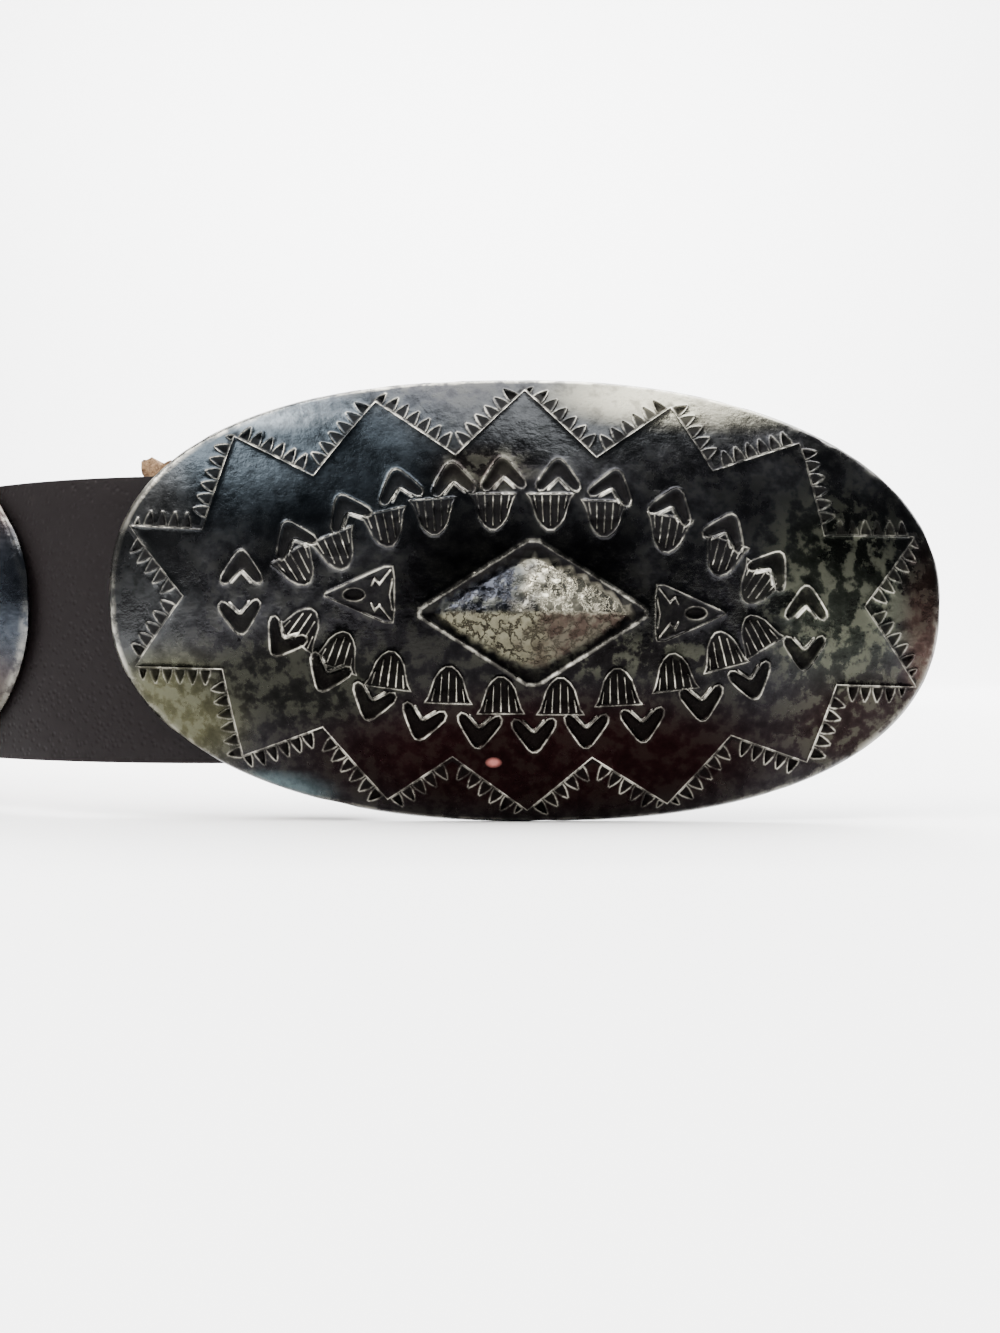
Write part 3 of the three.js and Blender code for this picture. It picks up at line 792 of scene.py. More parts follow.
            vert[wear_and_glint_layer] = float(bright)
        for corners in faces:
            bm.faces.new([made[i] for i in corners])
        self.add_back(bm, wear_and_glint_layer)
        for face in bm.faces:
            face.smooth = True
        bmesh.ops.recalc_face_normals(bm, faces=bm.faces)
        return bm

    def add_back(self, bm: bmesh.types.BMesh, wear_and_glint_layer: bmesh.types.BMLayerItem) -> None:
        """Extrudes the face's border over the rim and over the hollow behind it.

        Args:
            bm: The mesh, which holds the face alone.
            wear_and_glint_layer: Its layer of bright edges, wear with painted highlight.
        """
        border = [edge for edge in bm.edges if edge.is_boundary]
        anchors = {vert: Vector((vert.co.x, vert.co.y)) for edge in border for vert in edge.verts}
        steps = [(0.0, self.edge * 0.35), (0.2, 0.0), (self.wall - 0.15, 0.0), (self.wall, 0.12)]
        crown = self.edge + self.rise - self.wall
        for inset, height in steps:
            border, anchors = self.pulled(bm, border, anchors, wear_and_glint_layer, 1.0, inset, height)
        for share in self.back_shares:
            height = crown * (1 - share**self.sharpness)
            border, anchors = self.pulled(bm, border, anchors, wear_and_glint_layer, share, self.wall, height)
        bmesh.ops.edgeloop_fill(bm, edges=border)

    def pulled(
        self,
        bm: bmesh.types.BMesh,
        border: list[bmesh.types.BMEdge],
        anchors: dict[bmesh.types.BMVert, Vector],
        wear_and_glint_layer: bmesh.types.BMLayerItem,
        share: float,
        inset: float,
        height: float,
    ) -> tuple[list[bmesh.types.BMEdge], dict[bmesh.types.BMVert, Vector]]:
        """Extrudes a border loop once and sets its new ring in place.

        Args:
            bm: The mesh.
            border: The loop's edges.
            anchors: For each of its vertices, the outline's point that it comes from.
            wear_and_glint_layer: The mesh's layer of bright edges, wear with painted highlight.
            share: The new ring's share of the way out from the middle.
            inset: How far inside the outline that way ends.
            height: The new ring's height above the rim plane.

        Returns:
            The new loop's edges and its anchors.
        """
        made = bmesh.ops.extrude_edge_only(bm, edges=border)["geom"]
        verts = [item for item in made if isinstance(item, bmesh.types.BMVert)]
        edges = [item for item in made if isinstance(item, bmesh.types.BMEdge)]
        old = {(round(v.co.x, 5), round(v.co.y, 5)): anchors[v] for v in anchors}
        moved = {}
        shrink = Vector((1 - inset / self.oval.half_length, 1 - inset / self.oval.half_height))
        for vert in verts:
            anchor = old[(round(vert.co.x, 5), round(vert.co.y, 5))]
            vert.co = Vector((anchor.x * shrink.x * share, anchor.y * shrink.y * share, height))
            vert[wear_and_glint_layer] = 0.0
            moved[vert] = anchor
        ring = set(verts)
        return [edge for edge in edges if edge.verts[0] in ring and edge.verts[1] in ring], moved

    def tint(self, points: np.ndarray) -> np.ndarray:
        """The plate's colour at points, tarnish with painted reflections and painted shade, and the boss's
        painted facet light, with the patina's share as a fourth column.

        Args:
            points: Places, a row each.

        Returns:
            A row of colour and patina for each point.
        """
        color = np.tile(np.array((*self.base_color, 0.12)), (len(points), 1))
        x = points[:, 0] / self.oval.half_length
        y = points[:, 1] / self.oval.half_height
        for patch in self.tint_patches:
            away = np.sqrt(((x - patch.x) / patch.reach_x) ** 2 + ((y - patch.y) / patch.reach_y) ** 2)
            weight = (patch.strength * (1 - smoothstep(0.35, 1.0, away)))[:, None]
            color = color * (1 - weight) + np.array((*patch.color, patch.patina)) * weight
        # The boss takes its facets' painted light and shade.
        weight = (1 - smoothstep(0.94, 1.0, self.boss.share(points[:, :2])))[:, None]
        return color * (1 - weight) + self.facet_mix(points)[:, :4] * weight

    def facet_mix(self, points: np.ndarray) -> np.ndarray:
        """The boss's painted facet light and shade, its patina and its crackle at points, blended across its
        ridges.

        Args:
            points: Places, a row each.

        Returns:
            A row of colour, patina and crackle for each point.
        """
        waver = np.array([noise.noise(Vector((x * 0.5, y * 0.5, 4))) for x, y in points[:, :2]])
        right = smoothstep(-3.2, 3.2, points[:, 0] - self.boss.x + waver * 4.0)[:, None]
        upper = smoothstep(-0.3, 0.3, points[:, 1] - self.boss.y + waver * 0.3)[:, None]
        rows = np.array([(*facet.color, facet.patina, facet.crackle) for facet in self.facets])
        above = rows[0] * (1 - right) + rows[1] * right
        below = rows[3] * (1 - right) + rows[2] * right
        return above * upper + below * (1 - upper)

    def build(self, place: PlatePlace, material: bpy.types.Material) -> bpy.types.Object:
        """Makes the plate in its place, with its finish.

        Args:
            place: Where it lies.
            material: Its finish.

        Returns:
            The finished piece.
        """
        bm = self.mesh()
        data = bpy.data.meshes.new(self.name)
        bm.to_mesh(data)
        bm.free()
        local = np.empty(len(data.vertices) * 3, np.float32)
        data.vertices.foreach_get("co", local)
        local = local.reshape(-1, 3).astype(float)
        color = self.tint(local)
        layer = data.color_attributes.new("tint", "FLOAT_COLOR", "POINT")
        layer.data.foreach_set("color", color.astype(np.float32).ravel())
        on_boss = 1 - smoothstep(0.9, 1.0, self.boss.share(local[:, :2]))
        crackle = data.attributes.new("crackle", "FLOAT", "POINT")
        crackle.data.foreach_set("value", (self.facet_mix(local)[:, 4] * on_boss).astype(np.float32))
        data.vertices.foreach_set("co", place.world(local).astype(np.float32).ravel())
        data.update()
        piece = finished(self.name, data, material)
        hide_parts(self.node)
        return piece


# Finishes


class Nodes:
    """Short calls for building one material's nodes."""

    def __init__(self, name: str) -> None:
        """Starts a material with an empty node tree.

        Args:
            name: The name.
        """
        self.material = bpy.data.materials.new(name)
        self.material.use_nodes = True
        self.tree = self.material.node_tree
        self.tree.nodes.clear()
        self.output = self.tree.nodes.new("ShaderNodeOutputMaterial")
        self.shader = self.tree.nodes.new("ShaderNodeBsdfPrincipled")
        self.tree.links.new(self.shader.outputs[0], self.output.inputs[0])
        self.place = self.tree.nodes.new("ShaderNodeTexCoord").outputs["Object"]

    def link(self, source: bpy.types.NodeSocket, target: bpy.types.NodeSocket) -> None:
        """Joins two sockets."""
        self.tree.links.new(source, target)

    def attribute(self, name: str) -> bpy.types.Node:
        """A node that reads an attribute of the mesh.

        Args:
            name: The name.

        Returns:
            The node.
        """
        node = self.tree.nodes.new("ShaderNodeAttribute")
        node.attribute_name = name
        return node

    def stretched(self, scale: tuple[float, float, float], turn: float = 0.0) -> bpy.types.NodeSocket:
        """Object coordinates, stretched by a scale and turned about Y.

        Args:
            scale: The stretch along each axis.
            turn: The turn about Y.

        Returns:
            The stretched places.
        """
        node = self.tree.nodes.new("ShaderNodeMapping")
        node.inputs["Scale"].default_value = scale
        node.inputs["Rotation"].default_value = (0, turn, 0)
        self.link(self.place, node.inputs["Vector"])
        return node.outputs[0]

    def noise(
        self,
        scale: float,
        detail: float = 4.0,
        rough: float = 0.5,
        vector: bpy.types.NodeSocket | None = None,
    ) -> bpy.types.NodeSocket:
        """A noise, whose scale counts its waves in a metre.

        Args:
            scale: The waves in a metre.
            detail: The layers of finer noise.
            rough: How strong they are.
            vector: The places it is read at, if not the object's own.

        Returns:
            The noise's value.
        """
        node = self.tree.nodes.new("ShaderNodeTexNoise")
        node.inputs["Scale"].default_value = scale
        node.inputs["Detail"].default_value = detail
        node.inputs["Roughness"].default_value = rough
        self.link(vector or self.place, node.inputs["Vector"])
        return node.outputs["Fac"]

    def cells(self, scale: float) -> bpy.types.NodeSocket:
        """The distance to the middle of the nearest cell.

        Args:
            scale: The waves in a metre.

        Returns:
            The distance.
        """
        node = self.tree.nodes.new("ShaderNodeTexVoronoi")
        node.inputs["Scale"].default_value = scale
        self.link(self.place, node.inputs["Vector"])
        return node.outputs["Distance"]

    def ranged(
        self, value: bpy.types.NodeSocket, low: float, high: float, start: float = 0.0, end: float = 1.0
    ) -> bpy.types.NodeSocket:
        """Takes values from low..high to start..end, and no further.

        Args:
            value: The values.
            low: The value that becomes start.
            high: The value that becomes end.
            start: The first new value.
            end: The last new value.

        Returns:
            The new values.
        """
        node = self.tree.nodes.new("ShaderNodeMapRange")
        node.interpolation_type = "SMOOTHSTEP"
        for name, number in (("From Min", low), ("From Max", high), ("To Min", start), ("To Max", end)):
            node.inputs[name].default_value = number
        self.link(value, node.inputs["Value"])
        return node.outputs[0]

    def math(
        self, kind: str, first: bpy.types.NodeSocket, second: bpy.types.NodeSocket | float
    ) -> bpy.types.NodeSocket:
        """One sum on two values.

        Args:
            kind: The way it is done, by its node's word.
            first: The first of the two.
            second: The second of the two.

        Returns:
            The result.
        """
        node = self.tree.nodes.new("ShaderNodeMath")
        node.operation = kind
        self.link(first, node.inputs[0])
        if isinstance(second, float):
            node.inputs[1].default_value = second
        else:
            self.link(second, node.inputs[1])
        return node.outputs[0]

    def mixed(
        self,
        amount: bpy.types.NodeSocket,
        first: bpy.types.NodeSocket | tuple[float, float, float],
        second: bpy.types.NodeSocket | tuple[float, float, float],
        kind: str = "MIX",
    ) -> bpy.types.NodeSocket:
        """Mixes two colours.

        Args:
            amount: The share of the second.
            first: The first of the two.
            second: The second of the two.
            kind: The way it is done, by its node's word.

        Returns:
            The mixed colour.
        """
        node = self.tree.nodes.new("ShaderNodeMix")
        node.data_type = "RGBA"
        node.blend_type = kind
        self.link(amount, node.inputs[0])
        for socket, value in ((node.inputs[6], first), (node.inputs[7], second)):
            if isinstance(value, tuple):
                socket.default_value = (*value, 1.0)
            else:
                self.link(value, socket)
        return node.outputs[2]

    def blended(
        self, amount: bpy.types.NodeSocket, first: bpy.types.NodeSocket | float, second: float
    ) -> bpy.types.NodeSocket:
        """Mixes two numbers.

        Args:
            amount: The share of the second.
            first: The first of the two.
            second: The second of the two.

        Returns:
            The mixed number.
        """
        node = self.tree.nodes.new("ShaderNodeMix")
        node.data_type = "FLOAT"
        self.link(amount, node.inputs[0])
        if isinstance(first, float):
            node.inputs[2].default_value = first
        else:
            self.link(first, node.inputs[2])
        node.inputs[3].default_value = second
        return node.outputs[0]

    def bump(
        self,
        height: bpy.types.NodeSocket,
        distance: float,
        strength: float,
        below: bpy.types.NodeSocket | None = None,
    ) -> bpy.types.NodeSocket:
        """A bump of a height in metres, on top of another.

        Args:
            height: The height.
            distance: The height of its peaks, in metres.
            strength: How much it counts.
            below: A bump under it.

        Returns:
            The bumped normal.
        """
        node = self.tree.nodes.new("ShaderNodeBump")
        node.inputs["Strength"].default_value = strength
        node.inputs["Distance"].default_value = distance
        self.link(height, node.inputs["Height"])
        if below is not None:
            self.link(below, node.inputs["Normal"])
        return node.outputs[0]


@dataclass(frozen=True)
class TarnishedSilver:
    """Dark oxidised silver with bright edges of wear and painted highlight, mottled patina, painted light and
    shade in its tint, and fine scratches.
    """

    name: str
    # Colour of the bright edges, wear with painted highlight.
    wear_and_glint_color: tuple[float, float, float] = (0.66, 0.63, 0.54)
    recess_color: tuple[float, float, float] = (0.0042, 0.0036, 0.0034)
    patina_color: tuple[float, float, float] = (0.088, 0.090, 0.066)
    crack_color: tuple[float, float, float] = (0.016, 0.013, 0.009)

    def material(self) -> bpy.types.Material:
        """Builds the finish.

        Returns:
            The material.
        """
        nodes = Nodes(self.name)
        painted = nodes.attribute("tint")
        tint = painted.outputs["Color"]
        recess = nodes.attribute("recess").outputs["Fac"]
        wear_and_glint = nodes.attribute("wear_and_glint").outputs["Fac"]
        clouds = nodes.noise(120, 5, 0.6)
        spots = nodes.noise(520, 4, 0.6)
        grain = nodes.noise(2600, 3, 0.6)
        hairs = nodes.noise(900, 2, 0.6, nodes.stretched((0.3, 1.0, 1.6), 0.7))
        lighter = nodes.mixed(clouds, tint, tint, "ADD")
        color = nodes.mixed(nodes.ranged(clouds, 0.4, 0.7, 0.0, 0.6), tint, lighter)
        smudge = nodes.ranged(spots, 0.3, 0.55, 0.6, 0.0)
        color = nodes.mixed(smudge, color, (0.3, 0.3, 0.3), "MULTIPLY")
        mottle = nodes.math("MULTIPLY", nodes.ranged(spots, 0.47, 0.59), painted.outputs["Alpha"])
        color = nodes.mixed(nodes.math("MULTIPLY", mottle, 0.85), color, self.patina_color)
        lines = nodes.math("ABSOLUTE", nodes.math("SUBTRACT", nodes.noise(700, 4, 0.6), 0.5), 0.0)
        near_line = nodes.ranged(lines, 0.0, 0.05, 1.0, 0.0)
        crackle = nodes.math("MULTIPLY", near_line, nodes.attribute("crackle").outputs["Fac"])
        color = nodes.mixed(crackle, color, self.crack_color)
        color = nodes.mixed(nodes.math("MULTIPLY", recess, 0.72), color, self.recess_color)
        # Bright edges: wear with painted highlight, broken up by noise.
        wear_and_glint = nodes.math("MULTIPLY", wear_and_glint, nodes.ranged(spots, 0.4, 0.6, 0.12, 1.0))
        broken = nodes.math("MULTIPLY", wear_and_glint, nodes.ranged(clouds, 0.4, 0.62, 0.3, 1.0))
        color = nodes.mixed(broken, color, self.wear_and_glint_color)
        nodes.link(color, nodes.shader.inputs["Base Color"])
        rough = nodes.ranged(clouds, 0.3, 0.7, 0.18, 0.34)
        rough = nodes.blended(mottle, rough, 0.55)
        rough = nodes.blended(recess, rough, 0.7)
        rough = nodes.blended(broken, rough, 0.3)
        nodes.link(rough, nodes.shader.inputs["Roughness"])
        nodes.shader.inputs["Metallic"].default_value = 1.0
        sunk = nodes.math("MULTIPLY", crackle, -1.0)
        soft = nodes.bump(sunk, 0.0002, 0.6, nodes.bump(clouds, 0.0004, 0.35))
        pitted = nodes.bump(spots, 0.00012, 0.5, soft)
        fine = nodes.bump(grain, 0.00004, 0.5, pitted)
        nodes.link(nodes.bump(hairs, 0.00005, 0.25, fine), nodes.shader.inputs["Normal"])
        return nodes.material


@dataclass(frozen=True)
class PlainMetal:
    """Dull bare metal for fittings behind the plates."""

    name: str
    color: tuple[float, float, float]
    dark: tuple[float, float, float]
    roughness: float = 0.42

    def material(self) -> bpy.types.Material:
        """Builds the finish.

        Returns:
            The material.
        """
        nodes = Nodes(self.name)
        clouds = nodes.noise(160, 5, 0.6)
        grain = nodes.noise(2200, 3, 0.6)
        color = nodes.mixed(nodes.ranged(clouds, 0.38, 0.66), self.dark, self.color)
        nodes.link(color, nodes.shader.inputs["Base Color"])
        rough = nodes.ranged(clouds, 0.3, 0.7, self.roughness + 0.12, self.roughness - 0.08)
        nodes.link(rough, nodes.shader.inputs["Roughness"])
        nodes.shader.inputs["Metallic"].default_value = 1.0
        nodes.link(nodes.bump(grain, 0.00005, 0.5), nodes.shader.inputs["Normal"])
        return nodes.material


@dataclass(frozen=True)
class BeltLeather:
    """Black-brown grain with light scuffs on one side, and rough tan flesh on the other."""

    name: str
    grain_color: tuple[float, float, float] = (0.0048, 0.0033, 0.0036)
    scuff_color: tuple[float, float, float] = (0.036, 0.029, 0.026)
    flesh_color: tuple[float, float, float] = (0.31, 0.20, 0.115)
    flesh_dark: tuple[float, float, float] = (0.11, 0.068, 0.042)

    def material(self) -> bpy.types.Material:
        """Builds the finish.

        Returns:
            The material.
        """
        nodes = Nodes(self.name)
        flesh = nodes.attribute("flesh").outputs["Fac"]
        clouds = nodes.noise(45, 4, 0.6)
        patches = nodes.noise(240, 5, 0.65)
        fibres = nodes.noise(1500, 5, 0.7)
        pores = nodes.cells(1100)
        scuffs = nodes.math("MULTIPLY", nodes.ranged(patches, 0.58, 0.72), nodes.ranged(clouds, 0.48, 0.66))
        grain = nodes.mixed(nodes.math("MULTIPLY", scuffs, 0.6), self.grain_color, self.scuff_color)
        inside = nodes.mixed(nodes.ranged(fibres, 0.36, 0.64), self.flesh_dark, self.flesh_color)
        inside = nodes.mixed(nodes.ranged(patches, 0.4, 0.75, 0.0, 0.5), inside, self.flesh_dark)
        nodes.link(nodes.mixed(flesh, grain, inside), nodes.shader.inputs["Base Color"])
        nodes.shader.inputs["Specular IOR Level"].default_value = 0.1
        rough = nodes.blended(scuffs, nodes.ranged(patches, 0.3, 0.7, 0.5, 0.62), 0.78)
        nodes.link(nodes.blended(flesh, rough, 0.92), nodes.shader.inputs["Roughness"])
        smooth = nodes.bump(nodes.ranged(pores, 0.0, 0.5), 0.00012, 0.5)
        hairy = nodes.bump(nodes.math("MULTIPLY", fibres, flesh), 0.0006, 0.8, smooth)
        nodes.link(nodes.bump(patches, 0.0002, 0.3, hairy), nodes.shader.inputs["Normal"])
        return nodes.material


@dataclass(frozen=True)
class PaleBoard:
    """The plain pale surface under and behind the belt."""

    name: str
    color: tuple[float, float, float] = (0.95, 0.95, 0.95)

    def material(self) -> bpy.types.Material:
        """Builds the finish.

        Returns:
            The material.
        """
        nodes = Nodes(self.name)
        nodes.shader.inputs["Base Color"].default_value = (*self.color, 1.0)
        nodes.shader.inputs["Roughness"].default_value = 0.9
        nodes.shader.inputs["Specular IOR Level"].default_value = 0.1
        return nodes.material


def finished(name: str, data: bpy.types.Mesh, material: bpy.types.Material) -> bpy.types.Object:
    """Makes a piece of the belt from a mesh that is in its place.

    Args:
        name: The piece's name.
        data: Its mesh, in metres.
        material: Its finish.

    Returns:
        The piece, riding on the belt.
    """
    data.materials.clear()
    data.materials.append(material)
    piece = bpy.data.objects.new(name, data)
    bpy.context.scene.collection.objects.link(piece)
    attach(piece, "root")
    LOG.info("%s: %d faces", name, len(data.polygons))
    return piece


# The strap's route


@dataclass(frozen=True)
class Stretch:
    """A straight or evenly bent stretch of the strap. A positive turn bends it to the left."""

    name: str
    length: float
    turn: float


@dataclass(frozen=True)
class Laid:
    """A stretch in its place, seen from above."""

    stretch: Stretch
    along: float
    start: tuple[float, float]
    heading: float

    def place(self, distance: float) -> tuple[np.ndarray, float, np.ndarray]:
        """The point, heading and outward direction at a distance from the stretch's start.

        Args:
            distance: The height of its peaks, in metres.

        Returns:
            The point, the heading and the outward direction.
        """
        turn = math.radians(self.stretch.turn) * distance / self.stretch.length
        chord = distance if turn == 0 else distance * math.sin(turn / 2) / (turn / 2)
        way = self.heading + turn / 2
        point = np.array(self.start) + chord * np.array([math.cos(way), math.sin(way)])
        ahead = self.heading + turn
        return point, ahead, np.array([-math.sin(ahead), math.cos(ahead)])


@dataclass(frozen=True)
class BeltSizes:
    """The belt's main sizes, in millimetres and degrees."""

    clearance: float = 0.3
    layer_gap: float = 0.5
    rim_gap: float = 0.4
    strap_width: float = 38.0
    strap_thickness: float = 3.0
    strap_drop: float = 2.4
    tongue_length: float = 175.0
    tongue_nose: float = 24.0
    tongue_turn: float = 60.0
    hole_diameter: float = 5.0
    hole_count: int = 6
    hole_spacing: float = 22.0
    hole_from_tip: float = 38.0
    buckle_length: float = 108.5
    buckle_height: float = 57.6
    buckle_peak: float = 11.0
    concho_count: int = 7
    concho_length: float = 76.0
    concho_height: float = 50.0
    first_concho_lift: float = 1.9
    first_gap: float = 12.2
    concho_gap: float = 12.0
    concho_turn: float = 23.0
    bend_inside_tip: float = 12.0
    bend_length: float = 32.0
    bend_turn: float = 32.0
    bar_diameter: float = 2.4
    bar_slack: float = 0.4
    bar_from_middle: float = 22.0
    ramp_run: float = 10.0
    tab_from_tip: float = 3.0
    tab_skew: float = 2.6
    rivet_from_middle: float = 37.0
    rivet_spacing: float = 18.0
    rivet_head: float = 8.0
    rivet_head_height: float = 1.1
    rivet_shank: float = 3.0
    hook_width: float = 4.4
    hook_thickness: float = 2.0
    hook_from_middle: float = 33.0
    hook_reach: float = 8.0
    loop_width: float = 5.0
    loop_thickness: float = 1.2
    loop_spacing: float = 24.0

    @property
    def fold_radius(self) -> float:
        """Radius of the strap's middle round the bar."""
        return self.bar_diameter / 2 + self.bar_slack + self.strap_thickness / 2

    @property
    def outer_depth(self) -> float:
        """Depth of the strap's middle outside its tab."""
        return self.strap_thickness * 1.5 + self.layer_gap

    @property
    def strap_level(self) -> float:
        """Height of the strap's middle."""
        return self.buckle_height / 2 - self.strap_drop

    @property
    def loop_half_span(self) -> float:
        """Half the strap's stretch that a concho's loops cover."""
        return (self.loop_spacing + self.loop_width) / 2

    @property
    def loop_slack(self) -> float:
        """Free play of the strap in a loop, on each side."""
        drop = self.strap_level - self.concho_height / 2
        return max(self.first_concho_lift, abs(drop)) + self.clearance


class BeltRoute:
    """The way that the strap runs in plan, from its tab's free end round the bar and on to its tip."""

    def __init__(self, sizes: BeltSizes) -> None:
        """Lays the stretches with the fold round the bar.

        Args:
            sizes: The belt's sizes.
        """
        self.sizes = sizes
        stretches = self.stretches()
        trial = next(laid for laid in self.laid(stretches, (0.0, 0.0), 0.0) if laid.stretch.name == "fold")
        c = math.cos(-trial.heading)
        s = math.sin(-trial.heading)
        x, y = -trial.start[0], -trial.start[1]
        start = (x * c - y * s - sizes.bar_from_middle, x * s + y * c - sizes.strap_thickness / 2)
        self.route = self.laid(stretches, start, -trial.heading)
        self.end = self.route[-1].along + self.route[-1].stretch.length

    def stretches(self) -> list[Stretch]:
        """The strap's stretches in order.

        Returns:
            The stretches.
        """
        sizes = self.sizes
        to_bend = sizes.buckle_length / 2 - sizes.bend_inside_tip - sizes.bar_from_middle
        tab_in_bend = max(0.0, sizes.bend_inside_tip - sizes.tab_from_tip)
        outer_radius = sizes.bend_length / math.radians(sizes.bend_turn)
        tab_radius = outer_radius - sizes.strap_thickness - sizes.layer_gap
        drop = sizes.strap_thickness / 2 + 2 * sizes.fold_radius - sizes.outer_depth
        half_ramp = 2 * math.atan(drop / sizes.ramp_run)
        arc = sizes.ramp_run / 2 / math.sin(half_ramp) * half_ramp
        ramp = math.degrees(half_ramp)
        half = sizes.loop_half_span
        to_loops = sizes.bend_inside_tip + sizes.first_gap + sizes.concho_length / 2 + half
        straight = to_loops - sizes.bend_length
        found = [
            Stretch("tab_end", tab_in_bend, math.degrees(tab_in_bend / tab_radius)),
            Stretch("tab", to_bend, 0.0),
            Stretch("fold", math.pi * sizes.fold_radius, -180.0),
            Stretch("ramp_down", arc, -ramp),
            Stretch("ramp_out", arc, ramp),
            Stretch("riveted", to_bend - sizes.ramp_run, 0.0),
            Stretch("first_bend", sizes.bend_length, -sizes.bend_turn),
            Stretch("concho_1", straight, 0.0),
        ]
        for i in range(2, sizes.concho_count + 1):
            bare = sizes.concho_length + sizes.concho_gap - 2 * half
            found.append(Stretch(f"bend_{i}", bare, -sizes.concho_turn))
            found.append(Stretch(f"concho_{i}", 2 * half, 0.0))
        tongue = sizes.concho_length / 2 - half + sizes.tongue_length - sizes.tongue_nose
        found.append(Stretch("tongue", tongue, -sizes.tongue_turn))
        found.append(Stretch("nose", sizes.tongue_nose, 0.0))
        return found

    def laid(self, stretches: list[Stretch], start: tuple[float, float], heading: float) -> list[Laid]:
        """Lays stretches one after another.

        Args:
            stretches: The stretches.
            start: Where the first stretch starts.
            heading: The first stretch's way.

        Returns:
            The laid stretches.
        """
        route = []
        along = 0.0
        for stretch in stretches:
            laid = Laid(stretch, along, start, heading)
            route.append(laid)
            point, heading, _ = laid.place(stretch.length)
            start = (float(point[0]), float(point[1]))
            along += stretch.length
        return route

    def named(self, name: str) -> Laid:
        """The stretch of that name."""
        return next(laid for laid in self.route if laid.stretch.name == name)

    def place(self, along: float) -> tuple[np.ndarray, float, np.ndarray]:
        """The point, heading and outward direction at a distance along the strap."""
        laid = next((laid for laid in reversed(self.route) if laid.along <= along), self.route[0])
        return laid.place(along - laid.along)


@dataclass
class Belt:
    """The whole belt: it places its sub-assemblies by the frame."""

    sizes: BeltSizes = field(default_factory=BeltSizes)

    def __post_init__(self) -> None:
        """Finds the belt's own origin in the frame."""
        self.route = BeltRoute(self.sizes)
        low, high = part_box("buckle")
        rivet_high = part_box("tab_rivet_1")[1]
        inner = (self.sizes.clearance + self.sizes.rivet_head_height) * METRES
        self.origin = Vector(((low.x + high.x) / 2, rivet_high.y - inner, 0.0))
        self.rim_depth = (self.origin.y - low.y) / METRES - self.sizes.buckle_peak

    def buckle_place(self) -> PlatePlace:
        """Where the buckle's plate lies."""
        middle = self.origin + Vector((0, -self.rim_depth, self.sizes.buckle_height / 2)) * METRES
        return PlatePlace(middle, Vector((0, -1, 0)))

    def concho_place(self, number: int) -> PlatePlace:
        """Where a concho's plate lies.

        Args:
            number: The concho's number, from 1 at the buckle.

        Returns:
            The place.
        """
        sizes = self.sizes
        laid = self.route.named(f"concho_{number}")
        point, _, outward = self.route.place(laid.along + laid.stretch.length - sizes.loop_half_span)
        rim = point + outward * (sizes.strap_thickness / 2 + sizes.rim_gap)
        lift = sizes.first_concho_lift if number == 1 else sizes.concho_height / 2 - sizes.strap_level
        level = sizes.strap_level + lift
        middle = self.origin + Vector((rim[0], rim[1], level)) * METRES
        return PlatePlace(middle, Vector((outward[0], outward[1], 0)))


# Tables of stamped work on the buckle, as shares of its half length and half height. Turns are in degrees.


@dataclass(frozen=True)
class ZigzagPoint:
    """A point of the zigzag near the rim and the valley after it, going round clockwise."""

    tip_x: float
    tip_y: float
    valley_x: float
    valley_y: float


@dataclass(frozen=True)
class Struck:
    """One blow of a punch."""

    x: float
    y: float
    turn: float


BUCKLE_ZIGZAG = [
    ZigzagPoint(0.0, 0.943, 0.165, 0.615),
    ZigzagPoint(0.347, 0.862, 0.437, 0.559),
    ZigzagPoint(0.654, 0.703, 0.7, 0.278),
    ZigzagPoint(0.93, 0.284, 0.798, -0.032),
    ZigzagPoint(0.938, -0.391, 0.732, -0.379),
    ZigzagPoint(0.672, -0.728, 0.481, -0.602),
    ZigzagPoint(0.34, -0.915, 0.156, -0.699),
    ZigzagPoint(0.006, -0.945, -0.17, -0.695),
    ZigzagPoint(-0.327, -0.895, -0.473, -0.565),
    ZigzagPoint(-0.671, -0.699, -0.71, -0.31),
    ZigzagPoint(-0.93, -0.298, -0.805, 0.014),
    ZigzagPoint(-0.945, 0.336, -0.758, 0.307),
    ZigzagPoint(-0.693, 0.735, -0.494, 0.538),
    ZigzagPoint(-0.356, 0.89, -0.162, 0.625),
]

BUCKLE_CHEVRONS = [
    Struck(-0.661, 0.143, 90),
    Struck(-0.542, 0.271, 115),
    Struck(-0.415, 0.386, 117),
    Struck(-0.294, 0.497, 105),
    Struck(-0.168, 0.524, 97),
    Struck(-0.052, 0.546, 94),
    Struck(0.076, 0.541, 89),
    Struck(0.203, 0.492, 73),
    Struck(0.342, 0.412, 70),
    Struck(0.468, 0.302, 65),
    Struck(0.574, 0.142, 55),
    Struck(0.654, -0.013, 89),
    Struck(0.65, -0.246, -89),
    Struck(0.526, -0.374, -74),
    Struck(0.409, -0.467, -84),
    Struck(0.272, -0.561, -86),
    Struck(0.141, -0.587, -90),
    Struck(0.02, -0.606, -88),
    Struck(-0.108, -0.587, -95),
    Struck(-0.241, -0.552, -105),
    Struck(-0.357, -0.466, -107),
    Struck(-0.461, -0.342, -114),
    Struck(-0.565, -0.191, -123),
    Struck(-0.664, -0.089, -87),
]

